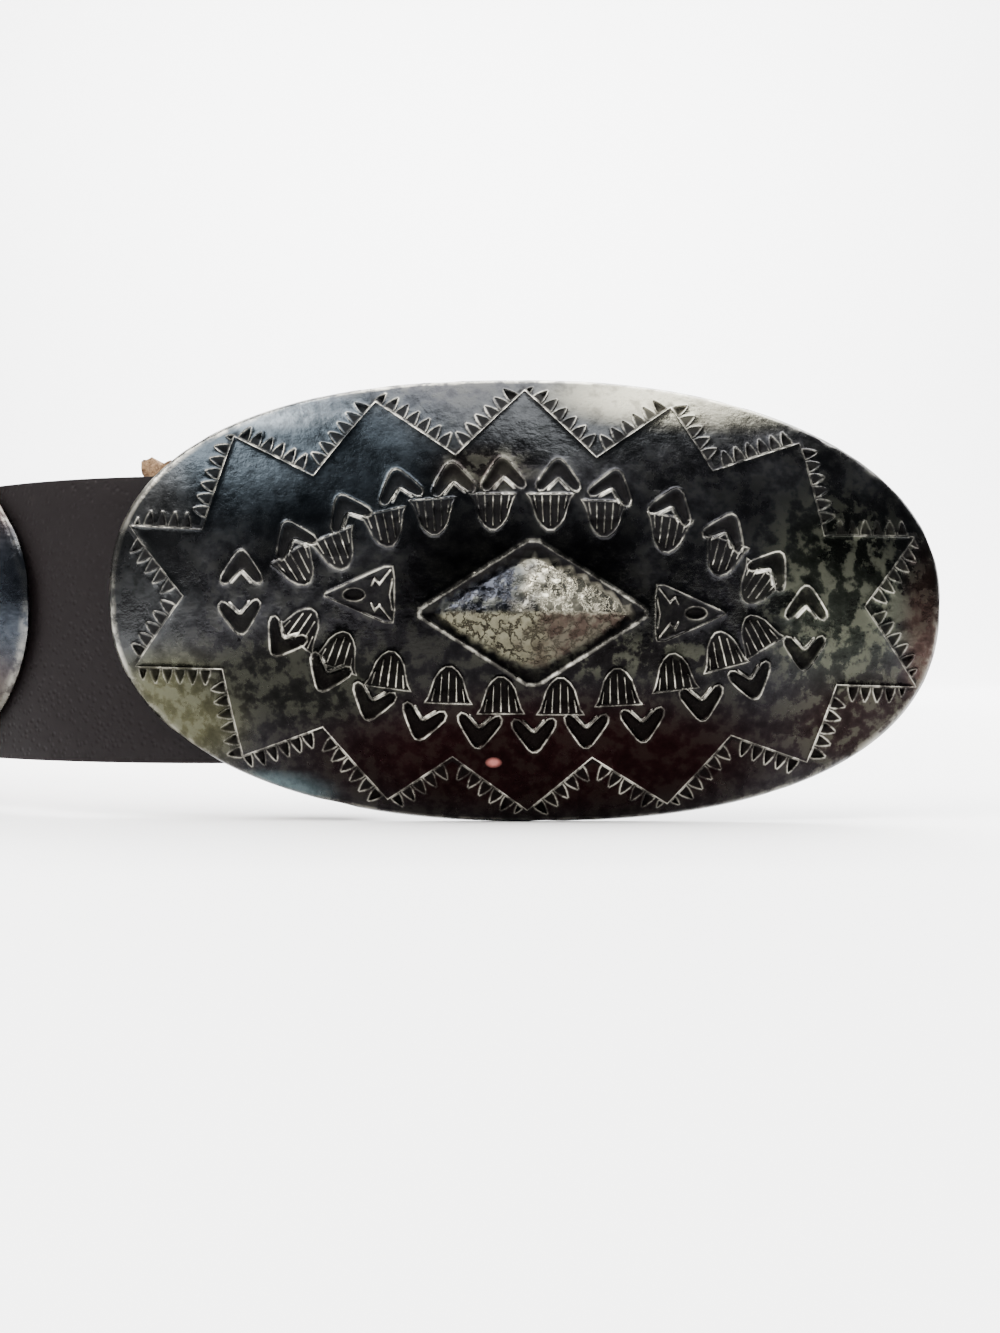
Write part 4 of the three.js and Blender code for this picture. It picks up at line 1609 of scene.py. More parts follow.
BUCKLE_FANS = [
    Struck(-0.524, 0.129, -60),
    Struck(-0.432, 0.199, -68),
    Struck(-0.32, 0.296, -78),
    Struck(-0.211, 0.348, -86),
    Struck(-0.075, 0.37, -90),
    Struck(0.057, 0.37, -90),
    Struck(0.181, 0.339, -92),
    Struck(0.327, 0.274, -100),
    Struck(0.453, 0.172, -108),
    Struck(0.531, 0.049, -125),
    Struck(0.533, -0.151, 120),
    Struck(0.453, -0.226, 105),
    Struck(0.341, -0.323, 97),
    Struck(0.212, -0.388, 93),
    Struck(0.08, -0.428, 90),
    Struck(-0.057, -0.424, 90),
    Struck(-0.177, -0.379, 88),
    Struck(-0.313, -0.313, 82),
    Struck(-0.427, -0.226, 70),
    Struck(-0.512, -0.12, 55),
]

BUCKLE_ARROWS = [Struck(-0.378, 0.012, 180), Struck(0.374, -0.068, 0)]

# Tarnish and painted light on the buckle. The patches in its lower half are set dark against the floor's
# reflection there: painted shade, so that the plate grows darker towards the bottom.
BUCKLE_STAINS_AND_PAINTED_LIGHT = [
    # Bluish upper left: tarnish tone with painted cool reflection.
    TarnishAndLightPatch(-0.55, 0.62, 0.6, 0.5, (0.014, 0.018, 0.022)),
    TarnishAndLightPatch(0.15, 0.8, 0.5, 0.3, (0.018, 0.019, 0.020)),
    TarnishAndLightPatch(-0.92, 0.1, 0.2, 0.8, (0.030, 0.031, 0.032)),
    # Dark over the lower half: painted shade, darker towards the bottom.
    TarnishAndLightPatch(0.0, -0.5, 1.1, 0.78, (0.0034, 0.0031, 0.0033), 0.92, 0.06),
    # Painted pale blue reflection along the upper-left rim.
    TarnishAndLightPatch(-0.62, 0.86, 0.3, 0.12, (0.075, 0.088, 0.10), 0.65),
    # Painted cream highlight along the top right, with a little patina.
    TarnishAndLightPatch(0.42, 0.92, 0.42, 0.2, (0.19, 0.18, 0.14), 0.85, 0.2),
    # Olive lower left: tarnish with painted warm reflection.
    TarnishAndLightPatch(-0.84, -0.5, 0.24, 0.36, (0.034, 0.033, 0.018), 0.9, 0.4),
    # Painted teal highlight on the lower-left rim.
    TarnishAndLightPatch(-0.62, -0.87, 0.2, 0.12, (0.085, 0.12, 0.13), 0.8),
    # Dark maroon along the bottom: painted shade that makes the plate darker towards the bottom.
    TarnishAndLightPatch(0.05, -0.72, 0.85, 0.42, (0.0036, 0.0012, 0.0013), 0.97, 0.02),
    TarnishAndLightPatch(-0.55, -0.35, 0.34, 0.28, (0.0034, 0.0034, 0.0030), 0.9, 0.12),
    TarnishAndLightPatch(0.82, -0.55, 0.3, 0.35, (0.0050, 0.0026, 0.0022), 0.85, 0.2),
    TarnishAndLightPatch(0.74, 0.05, 0.27, 0.55, (0.012, 0.014, 0.010), 0.85, 0.8),
    TarnishAndLightPatch(0.97, -0.1, 0.1, 0.5, (0.030, 0.016, 0.012), 0.75, 0.2),
    # Dark middle: painted dark reflection in the face.
    TarnishAndLightPatch(0.0, 0.0, 0.5, 0.45, (0.0036, 0.0035, 0.0038), 0.92, 0.05),
    TarnishAndLightPatch(0.2, -0.25, 0.4, 0.12, (0.0034, 0.0030, 0.0030), 0.7, 0.4),
    TarnishAndLightPatch(-0.1, 0.56, 0.16, 0.14, (0.022, 0.017, 0.014), 0.7, 0.45),
    # A small pink spot below the boss.
    TarnishAndLightPatch(-0.074, -0.722, 0.021, 0.026, (0.24, 0.085, 0.075), 1.0),
]

# The boss's four facets: upper left, upper right, lower right, lower left. Their colours are painted light
# and shade: a bright painted highlight on the upper right, a paler painted reflection on the lower left, and
# the other two painted dark. Their patina and crackle are the metal's own.
BUCKLE_FACETS = (
    Facet((0.020, 0.022, 0.028), 0.35, 0.3),
    Facet((0.30, 0.28, 0.215), 0.2, 0.6),
    Facet((0.024, 0.017, 0.0135), 0.3, 0.5),
    Facet((0.075, 0.070, 0.048), 0.2, 1.0),
)


def toothed(zigzag: np.ndarray, oval: Oval, punch: Punch, pitch: float, from_valley: float) -> list[Mark]:
    """Sets a row of teeth along the rim side of each side of a zigzag.

    Args:
        zigzag: Its corners, anticlockwise, with valleys and tips in turn.
        oval: The plate's outline.
        punch: The tooth's punch.
        pitch: The step between two teeth.
        from_valley: How far from a valley the first tooth stands.

    Returns:
        The marks.
    """
    gap_to_line = 0.14
    reach = 2.0
    marks = []
    count = len(zigzag)
    for i in range(count):
        start = zigzag[i]
        end = zigzag[(i + 1) % count]
        way = (end - start) / np.linalg.norm(end - start)
        out = np.array([way[1], -way[0]])
        length = float(np.linalg.norm(end - start))
        starts_in_valley = float(oval.share(*start)) < float(oval.share(*end))
        number = int((length - from_valley - 0.2) // pitch) + 1
        for k in range(number):
            along = from_valley + k * pitch
            at = start + way * (along if starts_in_valley else length - along)
            foot = at + out * gap_to_line
            size = 1.0
            while size > 0.35 and float(oval.share(*(foot + out * reach * size))) > 0.965:
                size -= 0.1
            if size <= 0.35:
                continue
            marks.extend(punch.struck((foot[0], foot[1]), math.degrees(math.atan2(out[1], out[0])), size))
    return marks


@dataclass
class Buckle:
    """The buckle: its stamped plate, and the fold-back bar and hook behind it."""

    belt: Belt
    tooth_pitch: float = 1.72

    def __post_init__(self) -> None:
        """Works out the plate."""
        sizes = self.belt.sizes
        oval = Oval(sizes.buckle_length / 2, sizes.buckle_height / 2, 2.45, 2.15, 2.4, 2.2)
        corners = []
        for row in BUCKLE_ZIGZAG:
            corners.append((row.tip_x * oval.half_length, row.tip_y * oval.half_height))
            corners.append((row.valley_x * oval.half_length, row.valley_y * oval.half_height))
        zigzag = np.array(corners[::-1])
        marks = toothed(zigzag, oval, tooth_punch(), self.tooth_pitch, 2.3)
        for table, punch in (
            (BUCKLE_FANS, fan_punch()),
            (BUCKLE_CHEVRONS, chevron_punch()),
            (BUCKLE_ARROWS, arrow_punch()),
        ):
            for row in table:
                marks.extend(punch.struck((row.x * oval.half_length, row.y * oval.half_height), row.turn))
        boss = Boss(12.2, 6.9, 2.6, 0.9, -1.9, 14.8, 9.4, 0.6)
        self.plate = StampedPlate(
            name="buckle_plate",
            node="buckle",
            slot=Slot.BUCKLE,
            oval=oval,
            edge=0.9,
            rise=7.5,
            wall=1.3,
            boss=boss,
            zigzag=Engraved(zigzag),
            marks=marks,
            tint_patches=BUCKLE_STAINS_AND_PAINTED_LIGHT,
            base_color=(0.022, 0.022, 0.024),
            facets=BUCKLE_FACETS,
            seed=1,
        )

    def hollow(self, x: float, y: float) -> float:
        """Height of the plate's hollow above its rim plane.

        Args:
            x: Places along the plate.
            y: Places up the plate.

        Returns:
            The height.
        """
        plate = self.plate
        share = float(
            Oval(
                plate.oval.half_length - plate.wall,
                plate.oval.half_height - plate.wall,
                plate.oval.left_top,
                plate.oval.right_top,
                plate.oval.right_bottom,
                plate.oval.left_bottom,
            ).share(np.array(x), np.array(y))
        )
        return (plate.edge + plate.rise - plate.wall) * (1 - min(1.0, share) ** plate.sharpness)

    def bar(self, material: bpy.types.Material) -> bpy.types.Object:
        """The staple-shaped bar that the strap folds round.

        Args:
            material: The finish.

        Returns:
            The piece.
        """
        sizes = self.belt.sizes
        radius = sizes.bar_diameter / 2
        leg = sizes.strap_width / 2 + 0.6 + radius
        depth = sizes.strap_thickness / 2 + sizes.fold_radius - self.belt.rim_depth
        line = []
        for side in (-1, 1):
            y = side * leg - sizes.strap_drop
            top = self.hollow(-sizes.bar_from_middle, y) + self.plate.wall * 0.4
            bend = radius * 1.1
            ends = [(y, top), (y, depth + bend)]
            ends += [(y - side * bend * 0.3, depth + bend * 0.3), (y - side * bend, depth)]
            line.extend(ends if side < 0 else ends[::-1])
        points = [Vector((-sizes.bar_from_middle, y, z)) for y, z in line]
        return rod("buckle_bar", points, radius, self.belt.buckle_place(), material, Slot.BUCKLE)

    def hook(self, material: bpy.types.Material) -> bpy.types.Object:
        """The hook for the tongue's holes.

        Args:
            material: The finish.

        Returns:
            The piece.
        """
        sizes = self.belt.sizes
        top = self.hollow(sizes.hook_from_middle, -sizes.strap_drop) + self.plate.wall * 0.4
        outer = sizes.hook_from_middle + sizes.hook_thickness
        rim = self.belt.rim_depth
        inner = sizes.hook_from_middle
        profile = [
            (outer, top),
            (inner, top),
            (inner, sizes.hook_thickness - rim),
            (inner - sizes.hook_reach, sizes.hook_thickness - rim),
            (inner - sizes.hook_reach - 1, sizes.hook_thickness / 2 - rim),
            (inner - sizes.hook_reach, -rim),
            (outer - 1, -rim),
            (outer, 1 - rim),
        ]
        bm = bmesh.new()
        low = -sizes.strap_drop - sizes.hook_width / 2
        corners = [bm.verts.new((x, low, z)) for x, z in profile]
        face = bm.faces.new(corners)
        made = bmesh.ops.extrude_face_region(bm, geom=[face])["geom"]
        moved = [item for item in made if isinstance(item, bmesh.types.BMVert)]
        bmesh.ops.translate(bm, verts=moved, vec=(0, sizes.hook_width, 0))
        sides = [edge for edge in bm.edges if edge.calc_length() < sizes.hook_width * 4]
        bmesh.ops.bevel(bm, geom=sides, offset=0.35, affect="EDGES", segments=2, profile=0.5, material=-1)
        return placed("buckle_hook", bm, self.belt.buckle_place(), material, Slot.BUCKLE)

    def build(self, silver: bpy.types.Material, fitting: bpy.types.Material) -> None:
        """Builds the buckle's pieces.

        Args:
            silver: The plate's finish.
            fitting: The fittings' finish.
        """
        self.plate.build(self.belt.buckle_place(), silver)
        self.bar(fitting)
        self.hook(fitting)


def placed(
    name: str,
    bm: bmesh.types.BMesh,
    place: PlatePlace,
    material: bpy.types.Material,
    slot: Slot,
    smooth: bool = True,
) -> bpy.types.Object:
    """Turns a mesh made in a plate's frame into a piece in its place.

    Args:
        name: The piece's name.
        bm: The mesh, which is freed.
        place: The plate's place.
        material: The piece's finish.
        slot: The record's slot that it stands for; not used.
        smooth: Whether its faces are shaded smooth.

    Returns:
        The piece.
    """
    bmesh.ops.recalc_face_normals(bm, faces=bm.faces)
    points = place.world(np.array([tuple(vert.co) for vert in bm.verts]))
    for vert, point in zip(bm.verts, points):
        vert.co = Vector(point)
    for face in bm.faces:
        face.smooth = smooth
    data = bpy.data.meshes.new(name)
    bm.to_mesh(data)
    bm.free()
    return finished(name, data, material)


def rod(
    name: str,
    line: list[Vector],
    radius: float,
    place: PlatePlace,
    material: bpy.types.Material,
    slot: Slot,
    sides: int = 16,
) -> bpy.types.Object:
    """A round rod along a line, made by extruding its end face.

    Args:
        name: The piece's name.
        line: The line's points in the plate's frame, in the plane of its first bend.
        radius: The rod's radius.
        place: The plate's place.
        material: The piece's finish.
        slot: The record's slot that it stands for.
        sides: Sides of the rod.

    Returns:
        The piece.
    """
    bm = bmesh.new()
    made = bmesh.ops.create_circle(bm, cap_ends=False, segments=sides, radius=radius)
    ring = made["verts"]
    edges = list(bm.edges)
    ways = [(line[i + 1] - line[i]).normalized() for i in range(len(line) - 1)]

    def set_ring(verts: list[bmesh.types.BMVert], point: Vector, way: Vector) -> None:
        """Sets a ring square to a way about a point.

        Args:
            verts: The ring's vertices.
            point: Where its middle goes.
            way: The way it is square to.
        """
        side = Vector((1, 0, 0))
        other = way.cross(side).normalized()
        for i, vert in enumerate(verts):
            turn = 2 * math.pi * i / sides
            vert.co = point + side * (radius * math.cos(turn)) + other * (radius * math.sin(turn))

    set_ring(ring, line[0], ways[0])
    start_edges = edges
    for i in range(1, len(line)):
        way = (ways[i - 1] + ways[min(i, len(ways) - 1)]).normalized()
        made = bmesh.ops.extrude_edge_only(bm, edges=edges)["geom"]
        new = [item for item in made if isinstance(item, bmesh.types.BMVert)]
        old = {tuple(round(c, 5) for c in vert.co): k for k, vert in enumerate(ring)}
        new.sort(key=lambda vert: old[tuple(round(c, 5) for c in vert.co)])
        group = set(new)
        edges = [
            item
            for item in made
            if isinstance(item, bmesh.types.BMEdge) and item.verts[0] in group and item.verts[1] in group
        ]
        set_ring(new, line[i], way)
        ring = new
    bmesh.ops.edgeloop_fill(bm, edges=start_edges)
    bmesh.ops.edgeloop_fill(bm, edges=edges)
    return placed(name, bm, place, material, slot)


@dataclass
class Concho:
    """One concho: its stamped plate and the two strap loops behind it."""

    belt: Belt
    number: int
    points: int = 8
    tip_share: float = 0.9
    valley_share: float = 0.66
    chevron_share: float = 0.53
    fan_share: float = 0.37
    chevron_count: int = 14
    fan_count: int = 10
    foot: float = 0.3

    def plate(self) -> StampedPlate:
        """Works out the plate, whose blows fall a little unevenly.

        Returns:
            The plate.
        """
        sizes = self.belt.sizes
        chance = random.Random(40 + self.number)
        oval = Oval(sizes.concho_length / 2, sizes.concho_height / 2, 2.1, 2.1, 2.1, 2.1)
        corners = []
        for i in range(self.points * 2):
            turn = math.pi * i / self.points
            share = self.tip_share if i % 2 == 0 else self.valley_share
            corners.append(self.at(oval, turn, share * chance.uniform(0.985, 1.015)))
        zigzag = np.array(corners)
        marks = toothed(zigzag, oval, tooth_punch(), 1.8, 2.2)
        for count, share, punch, inward in (
            (self.fan_count, self.fan_share, fan_punch(), True),
            (self.chevron_count, self.chevron_share, chevron_punch(), False),
        ):
            for i in range(count):
                turn = 2 * math.pi * (i + 0.5) / count
                x, y = self.at(oval, turn, share)
                ahead = self.at(oval, turn + 0.02, share)
                heading = math.degrees(math.atan2(ahead[1] - y, ahead[0] - x)) - 90
                heading += 180 if inward else 0
                x += chance.uniform(-0.2, 0.2)
                y += chance.uniform(-0.2, 0.2)
                marks.extend(punch.struck((x, y), heading + chance.uniform(-5, 5), 0.9))
        boss = Boss(8.6, 5.0, 2.0, 0.0, 0.0, 10.2, 6.6, 0.5)
        tint_patches = []
        for _ in range(9):
            shade = chance.choice(((0.028, 0.034, 0.044), (0.024, 0.014, 0.014), (0.060, 0.062, 0.046)))
            tint_patches.insert(
                0,
                TarnishAndLightPatch(
                    chance.uniform(-1, 1),
                    chance.uniform(-1, 1),
                    chance.uniform(0.3, 0.7),
                    chance.uniform(0.3, 0.7),
                    shade,
                    0.75,
                ),
            )
        return StampedPlate(
            name=f"concho_{self.number}_plate",
            node=f"concho_{self.number}",
            slot=Slot.CONCHO,
            oval=oval,
            edge=0.8,
            rise=6.5,
            wall=1.2,
            boss=boss,
            zigzag=Engraved(zigzag),
            marks=marks,
            tint_patches=tint_patches,
            base_color=(0.022, 0.022, 0.024),
            # The boss takes the buckle's facet colours, painted light and shade.
            facets=BUCKLE_FACETS,
            seed=10 + self.number,
            outline_spacing=0.8,
            grid=1.3,
        )

    def at(self, oval: Oval, turn: float, share: float) -> tuple[float, float]:
        """A point at a share of the way out in a direction.

        Args:
            oval: The plate's outline.
            turn: The direction.
            share: The share of the way out.

        Returns:
            The point.
        """
        c = math.cos(turn)
        s = math.sin(turn)
        power = 2 / oval.left_top
        return (
            share * oval.half_length * math.copysign(abs(c) ** power, c),
            share * oval.half_height * math.copysign(abs(s) ** power, s),
        )

    def loops(self, plate: StampedPlate, material: bpy.types.Material) -> bpy.types.Object:
        """The two strap loops: flat strips bent round the strap's waist side.

        Args:
            plate: The concho's plate.
            material: The finish.

        Returns:
            The piece.
        """
        sizes = self.belt.sizes
        half = sizes.strap_width / 2 + sizes.loop_slack
        outer = half + sizes.loop_thickness
        inside = -(sizes.rim_gap + sizes.strap_thickness + sizes.clearance)
        outside = inside - sizes.loop_thickness
        share = float(plate.oval.share(np.array(sizes.loop_half_span), np.array(outer)))
        crown = plate.edge + plate.rise - plate.wall
        top = max(self.foot, crown * (1 - min(1.0, share) ** plate.sharpness)) + self.foot
        profile = [
            (-outer, top),
            (-outer, outside),
            (outer, outside),
            (outer, top),
            (half, top),
            (half, inside),
            (-half, inside),
            (-half, top),
        ]
        bm = bmesh.new()
        for side in (-1, 1):
            x = side * sizes.loop_spacing / 2 - sizes.loop_width / 2
            face = bm.faces.new([bm.verts.new((x, y, z)) for y, z in profile])
            made = bmesh.ops.extrude_face_region(bm, geom=[face])["geom"]
            moved = [item for item in made if isinstance(item, bmesh.types.BMVert)]
            bmesh.ops.translate(bm, verts=moved, vec=(sizes.loop_width, 0, 0))
        bends = [
            edge
            for edge in bm.edges
            if abs(edge.verts[0].co.x - edge.verts[1].co.x) > sizes.loop_width / 2 and edge.verts[0].co.z < 0
        ]
        bmesh.ops.bevel(bm, geom=bends, offset=0.55, affect="EDGES", segments=3, profile=0.5, material=-1)
        place = self.belt.concho_place(self.number)
        return placed(f"concho_{self.number}_loops", bm, place, material, Slot.CONCHO, False)

    def build(self, silver: bpy.types.Material, fitting: bpy.types.Material) -> None:
        """Builds the concho's pieces.

        Args:
            silver: The plate's finish.
            fitting: The fittings' finish.
        """
        plate = self.plate()
        plate.build(self.belt.concho_place(self.number), silver)
        self.loops(plate, fitting)


@dataclass
class Strap:
    """The leather strap with its folded tab, punched tongue and rounded tip."""

    belt: Belt
    edge_radius: float = 0.7
    step: float = 2.6
    across: int = 9
    blunt_tip: float = 0.2
    fray: float = 1.0
    frayed_length: float = 9.0
    frayed_step: float = 0.5

    def width_share(self, along: np.ndarray) -> np.ndarray:
        """Share of the full width that the strap has at distances.

        Args:
            along: Distances along the strap.

        Returns:
            The shares.
        """
        nose = self.belt.sizes.tongue_nose
        into = np.clip(along - (self.belt.route.end - nose), 0, None) / nose
        return np.maximum(self.blunt_tip, np.sqrt(np.clip(1 - into**2, 0, None)))

    def outline(self) -> np.ndarray:
        """The unrolled strap's outline, x along it, anticlockwise.

        Returns:
            The outline's points.
        """
        half = self.belt.sizes.strap_width / 2
        nose = self.belt.sizes.tongue_nose
        end = self.belt.route.end
        frayed = np.arange(0, self.frayed_length, self.frayed_step)
        straight = np.concatenate((frayed, np.arange(self.frayed_length, end - nose, self.step)))
        turn = np.linspace(0, math.pi / 2, 26)
        top = half * np.maximum(self.blunt_tip, np.cos(turn))
        round_x = end - nose + nose * np.sin(turn)
        bottom_line = np.column_stack((straight, np.full(len(straight), -half)))
        lower = np.column_stack((round_x, -top))
        upper = np.column_stack((round_x[::-1], top[::-1]))
        top_line = np.column_stack((straight[::-1], np.full(len(straight), half)))
        count = round(2 * half / self.frayed_step)
        tab_end = np.column_stack((np.zeros(count - 1), np.linspace(half, -half, count + 1)[1:-1]))
        return np.vstack((bottom_line, lower, upper, top_line, tab_end))

    def holes(self) -> list[np.ndarray]:
        """The punched holes' outlines, clockwise.

        Returns:
            The outlines.
        """
        sizes = self.belt.sizes
        turn = np.linspace(0, 2 * math.pi, 28, endpoint=False)
        circle = sizes.hole_diameter / 2 * np.column_stack((np.cos(turn), -np.sin(turn)))
        first = self.belt.route.end - sizes.hole_from_tip
        places = [first - i * sizes.hole_spacing for i in range(sizes.hole_count)]
        return [circle + np.array([place, 0.0]) for place in places]

    def flat_face(self) -> bmesh.types.BMesh:
        """The unrolled strap as a flat mesh with its holes left open.

        It is filled with even triangles round its holes, which no operator gives, so that it bends smoothly.

        Returns:
            The flat mesh.
        """
        half = self.belt.sizes.strap_width / 2
        loops = [self.outline()] + self.holes()
        points = []
        edges = []
        for loop in loops:
            start = len(points)
            points.extend(loop)
            edges.extend((start + i, start + (i + 1) % len(loop)) for i in range(len(loop)))
        inner = np.linspace(-half, half, self.across + 2)[1:-1]
        hole_middles = np.array([hole.mean(axis=0) for hole in self.holes()])
        fine = np.arange(self.frayed_step * 1.2, self.frayed_length, self.frayed_step * 1.6)
        coarse = np.arange(self.frayed_length + self.step / 2, self.belt.route.end - 1.5, self.step)
        for x in np.concatenate((fine, coarse)):
            for y in inner * float(self.width_share(np.array(x))):
                clear = np.linalg.norm(hole_middles - np.array([x, y]), axis=1).min()
                if clear > self.belt.sizes.hole_diameter / 2 + 0.8:
                    points.append(np.array([x, y]))
        flat = [Vector((float(x), float(y))) for x, y in points]
        laid, _, faces, _, _, _ = geometry.delaunay_2d_cdt(flat, edges, [], 1, 1e-3)
        bm = bmesh.new()
        verts = [bm.verts.new((v.x, v.y, 0.0)) for v in laid]
        for corners in faces:
            centre = sum((laid[i] for i in corners), Vector((0, 0))) / len(corners)
            away = np.linalg.norm(hole_middles - np.array([centre.x, centre.y]), axis=1).min()
            if away > self.belt.sizes.hole_diameter / 2 * 0.98:
                bm.faces.new([verts[i] for i in corners])
        loose = [vert for vert in bm.verts if not vert.link_faces]
        bmesh.ops.delete(bm, geom=loose, context="VERTS")
        return bm

    def mesh(self) -> bmesh.types.BMesh:
        """The unrolled strap as a solid with rounded edges, with z above 0 on the grain side.

        Returns:
            The solid.
        """
        thickness = self.belt.sizes.strap_thickness
        bm = self.flat_face()
        made = bmesh.ops.extrude_face_region(bm, geom=list(bm.faces))["geom"]
        top = [item for item in made if isinstance(item, bmesh.types.BMVert)]
        bmesh.ops.translate(bm, verts=list(bm.verts), vec=(0, 0, -thickness / 2))
        bmesh.ops.translate(bm, verts=top, vec=(0, 0, thickness))
        bmesh.ops.recalc_face_normals(bm, faces=bm.faces)
        corners = []
        for edge in bm.edges:
            if len(edge.link_faces) == 2:
                first, second = edge.link_faces
                if abs(first.normal.z) > 0.9 > 0.1 > abs(second.normal.z):
                    corners.append(edge)
                elif abs(second.normal.z) > 0.9 > 0.1 > abs(first.normal.z):
                    corners.append(edge)
        bmesh.ops.bevel(
            bm, geom=corners, offset=self.edge_radius, affect="EDGES", segments=3, profile=0.5, material=-1,
            clamp_overlap=True,
        )
        return bm

    def build(self, material: bpy.types.Material) -> None:
        """Bends the strap along its route and dresses it.

        Args:
            material: The finish.
        """
        sizes = self.belt.sizes
        bm = self.mesh()
        flesh_layer = bm.verts.layers.float.new("flesh")
        fold = self.belt.route.named("fold").along
        half = sizes.strap_width / 2
        for vert in bm.verts:
            along, up, out = vert.co
            grain = (out + sizes.strap_thickness / 2) / sizes.strap_thickness
            low, high = (0.8, 0.97) if up > 0 else (0.45, 0.8)
            flesh = float(1 - smoothstep(low, high, np.array(grain)))
            tab = max(0.0, 1 - along / fold)
            worn_away = float(1 - smoothstep(self.frayed_length * 0.7, self.frayed_length, np.array(along)))
            tuft = noise.noise(Vector((along * 0.7, up * 0.7, out * 0.6)))
            hair = noise.noise(Vector((along * 2.6, up * 2.6, out * 2.1)))
            push = self.fray * worn_away * (0.5 + tuft * 1.2 + hair * 0.5)
            at_end = float(1 - smoothstep(0.2, 1.4, np.array(along)))
            at_top = float(smoothstep(half - 1.4, half - 0.2, np.array(up)))
            vert[flesh_layer] = max(flesh, at_end, at_top * worn_away)
            wave = 0.08 * noise.noise(Vector((along / 18, up / 12, 3)))
            rough = 0.05 * flesh * noise.noise(Vector((along * 1.4, up * 1.4, out * 2)))
            point, _, outward = self.belt.route.place(along - push * at_end)
            plan = point + outward * (out * (1 - 0.25 * worn_away * max(at_end, at_top)) + wave + rough)
            lift = sizes.tab_skew * tab + push * at_top
            vert.co = Vector((plan[0], plan[1], sizes.strap_level + up + lift))
        for face in bm.faces:
            face.smooth = True
        bmesh.ops.recalc_face_normals(bm, faces=bm.faces)
        for vert in bm.verts:
            vert.co = self.belt.origin + vert.co * METRES
        data = bpy.data.meshes.new("strap_leather")
        bm.to_mesh(data)
        bm.free()
        piece = finished("strap_leather", data, material)
        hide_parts("strap")


@dataclass
class TabRivets:
    """The two rivets that hold the fold of the strap."""

    belt: Belt
    steps: int = 28

    def build(self, material: bpy.types.Material) -> None:
        """Spins each rivet about its shank and puts it in its place.

        Args:
            material: The finish.
        """
        sizes = self.belt.sizes
        outer = sizes.outer_depth + sizes.strap_thickness / 2 + sizes.clearance
        inner = -sizes.clearance
        head = sizes.rivet_head / 2
        height = sizes.rivet_head_height
        profile = [
            (0.0, inner - height),
            (head * 0.9, inner - height),
            (head, inner - height * 0.8),
            (head, inner),
            (sizes.rivet_shank / 2, inner),
            (sizes.rivet_shank / 2, outer),
            (head, outer),
            (head * 0.93, outer + height * 0.45),
            (head * 0.62, outer + height * 0.85),
            (0.0, outer + height),
        ]
        for number, side in ((1, 1), (2, -1)):
            bm = bmesh.new()
            verts = [bm.verts.new((radius, 0, depth)) for radius, depth in profile]
            edges = [bm.edges.new((verts[i], verts[i + 1])) for i in range(len(verts) - 1)]
            bmesh.ops.spin(
                bm, geom=verts + edges, cent=(0, 0, 0), axis=(0, 0, 1), angle=2 * math.pi, steps=self.steps,
                use_merge=True,
            )
            bmesh.ops.remove_doubles(bm, verts=bm.verts, dist=1e-4)
            level = sizes.strap_level + side * sizes.rivet_spacing / 2
            middle = self.belt.origin + Vector((-sizes.rivet_from_middle, 0, level)) * METRES
            name = f"tab_rivet_{number}"
            place = PlatePlace(middle, Vector((0, -1, 0)))
            piece = placed(f"{name}_dressed", bm, place, material, Slot.RIVET)
            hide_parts(name)


# The stage, the light and the camera


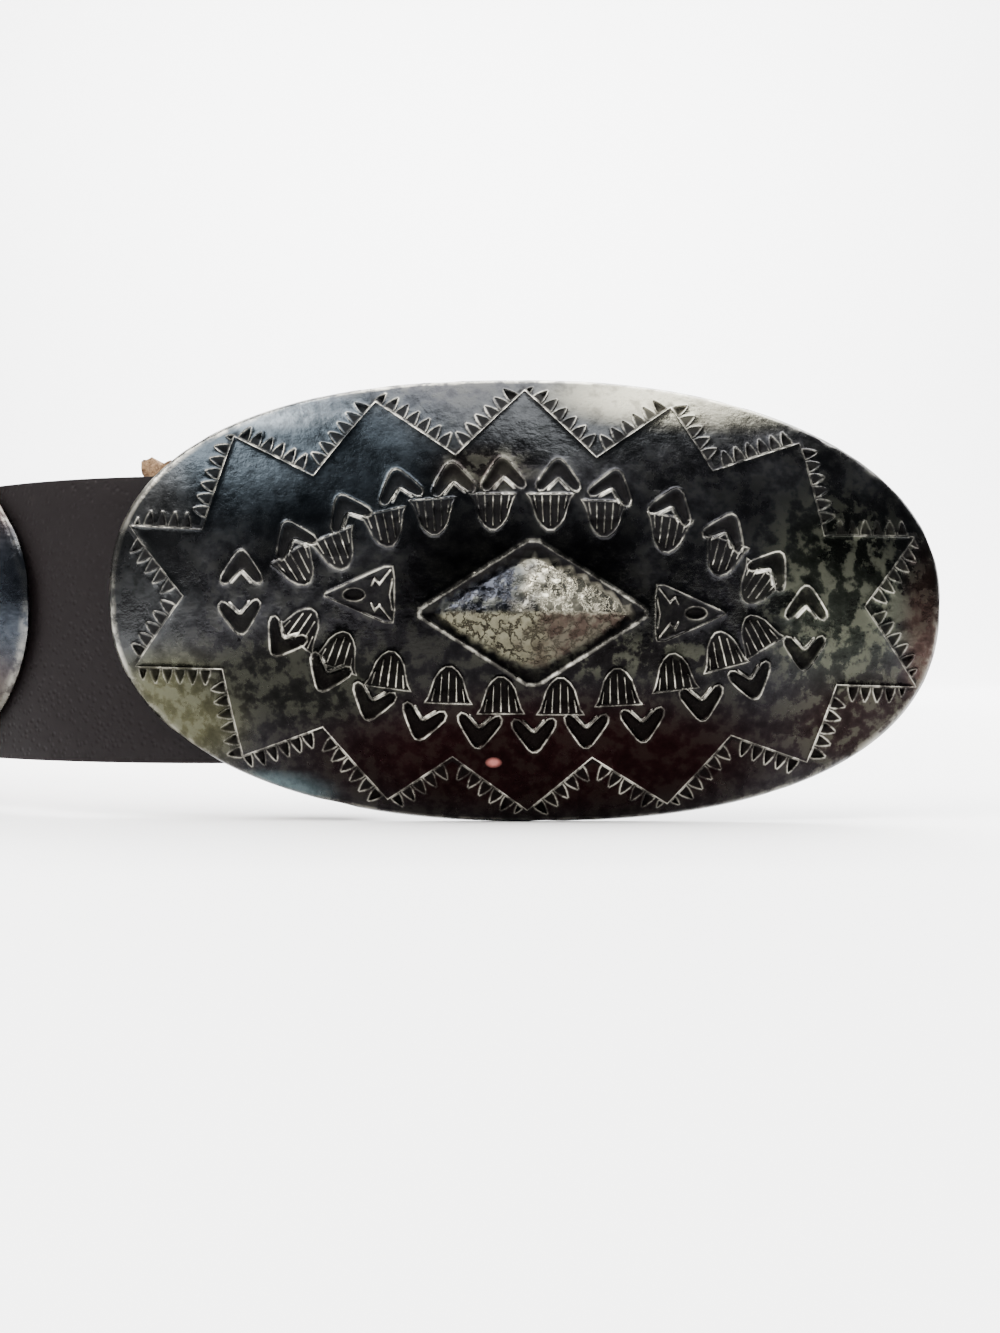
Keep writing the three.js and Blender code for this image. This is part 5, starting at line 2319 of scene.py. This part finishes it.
@dataclass
class Studio:
    """A pale sweep, soft lights and the camera in front of the buckle."""

    belt: Belt
    camera_distance: float = 151.2
    frame_width: float = 131.0
    camera_left: float = 3.2
    camera_below: float = 8.6

    def sweep(self, material: bpy.types.Material) -> None:
        """A floor that curves up into a backdrop.

        Args:
            material: The finish.
        """
        bm = bmesh.new()
        reach = 3.0
        radius = 0.6
        start = 0.9
        steps = 12
        line = [(-reach, 0.0), (start, 0.0)]
        for i in range(1, steps + 1):
            turn = math.pi / 2 * i / steps
            line.append((start + radius * math.sin(turn), radius - radius * math.cos(turn)))
        line.append((start + radius, reach))
        verts = [bm.verts.new((-reach, y, z)) for y, z in line]
        edges = [bm.edges.new((verts[i], verts[i + 1])) for i in range(len(verts) - 1)]
        made = bmesh.ops.extrude_edge_only(bm, edges=edges)["geom"]
        moved = [item for item in made if isinstance(item, bmesh.types.BMVert)]
        bmesh.ops.translate(bm, verts=moved, vec=(2 * reach, 0, 0))
        for face in bm.faces:
            face.smooth = True
            face.normal_update()
        if min(face.normal.z for face in bm.faces) < -0.01:
            bmesh.ops.reverse_faces(bm, faces=list(bm.faces))
        data = bpy.data.meshes.new("sweep")
        bm.to_mesh(data)
        bm.free()
        data.materials.append(material)
        floor = bpy.data.objects.new("sweep", data)
        bpy.context.scene.collection.objects.link(floor)

    def light(
        self,
        name: str,
        place: tuple[float, float, float],
        target: tuple[float, float, float],
        size: tuple[float, float],
        power: float,
        color: tuple[float, float, float],
    ) -> None:
        """Adds one soft light that looks at a target.

        Args:
            name: The name.
            place: Where it stands.
            target: What it looks at.
            size: Its width and height.
            power: Its power in watts.
            color: Its colour.
        """
        data = bpy.data.lights.new(name, "AREA")
        data.shape = "RECTANGLE"
        data.size, data.size_y = size
        data.energy = power
        data.color = color
        lamp = bpy.data.objects.new(name, data)
        lamp.location = place
        lamp.rotation_euler = (Vector(target) - Vector(place)).to_track_quat("-Z", "Y").to_euler()
        bpy.context.scene.collection.objects.link(lamp)

    def camera(self) -> None:
        """Sets the camera level with the buckle, a little below and to the left of its middle."""
        place = self.belt.buckle_place().middle
        data = bpy.data.cameras.new("camera")
        data.sensor_fit = "HORIZONTAL"
        data.sensor_width = 36.0
        data.lens = data.sensor_width * self.camera_distance / self.frame_width
        data.clip_start = 0.01
        camera = bpy.data.objects.new("camera", data)
        shift = Vector((-self.camera_left, -self.camera_distance, -self.camera_below))
        camera.location = place + shift * METRES
        camera.rotation_euler = (math.pi / 2, 0, 0)
        bpy.context.scene.collection.objects.link(camera)
        bpy.context.scene.camera = camera

    def build(self) -> None:
        """Builds the stage."""
        self.sweep(PaleBoard("pale_board").material())
        world = bpy.data.worlds.new("room")
        world.use_nodes = True
        background = world.node_tree.nodes["Background"]
        background.inputs["Color"].default_value = (0.82, 0.86, 0.92, 1.0)
        background.inputs["Strength"].default_value = 0.3
        bpy.context.scene.world = world
        middle = tuple(self.belt.buckle_place().middle)
        self.light("key", (-0.55, -0.55, 0.75), middle, (0.5, 0.4), 16.0, (1.0, 0.97, 0.93))
        self.light("top", (0.15, -0.1, 0.9), (0.0, 0.0, 0.0), (1.2, 0.8), 46.0, (1.0, 1.0, 1.0))
        self.light("backdrop", (0.0, 0.5, 1.2), (0.0, 1.5, 0.4), (2.4, 0.8), 130.0, (1.0, 1.0, 1.0))
        self.camera()


def main() -> None:
    """Builds the belt in order, then its stage."""
    logging.basicConfig(level=logging.INFO, format="%(name)s: %(message)s")
    belt = Belt()
    buckle_silver = TarnishedSilver("buckle_silver").material()
    concho_silver = TarnishedSilver("concho_silver").material()
    fitting = PlainMetal("solder_silver", (0.42, 0.40, 0.37), (0.12, 0.11, 0.10)).material()
    copper = PlainMetal("loop_copper", (0.42, 0.22, 0.13), (0.11, 0.06, 0.045)).material()
    leather = BeltLeather("belt_leather").material()
    Strap(belt).build(leather)
    Buckle(belt).build(buckle_silver, fitting)
    for number in range(1, belt.sizes.concho_count + 1):
        Concho(belt, number).build(concho_silver, copper)
    TabRivets(belt).build(copper)
    Studio(belt).build()


if __name__ == "__main__":
    main()
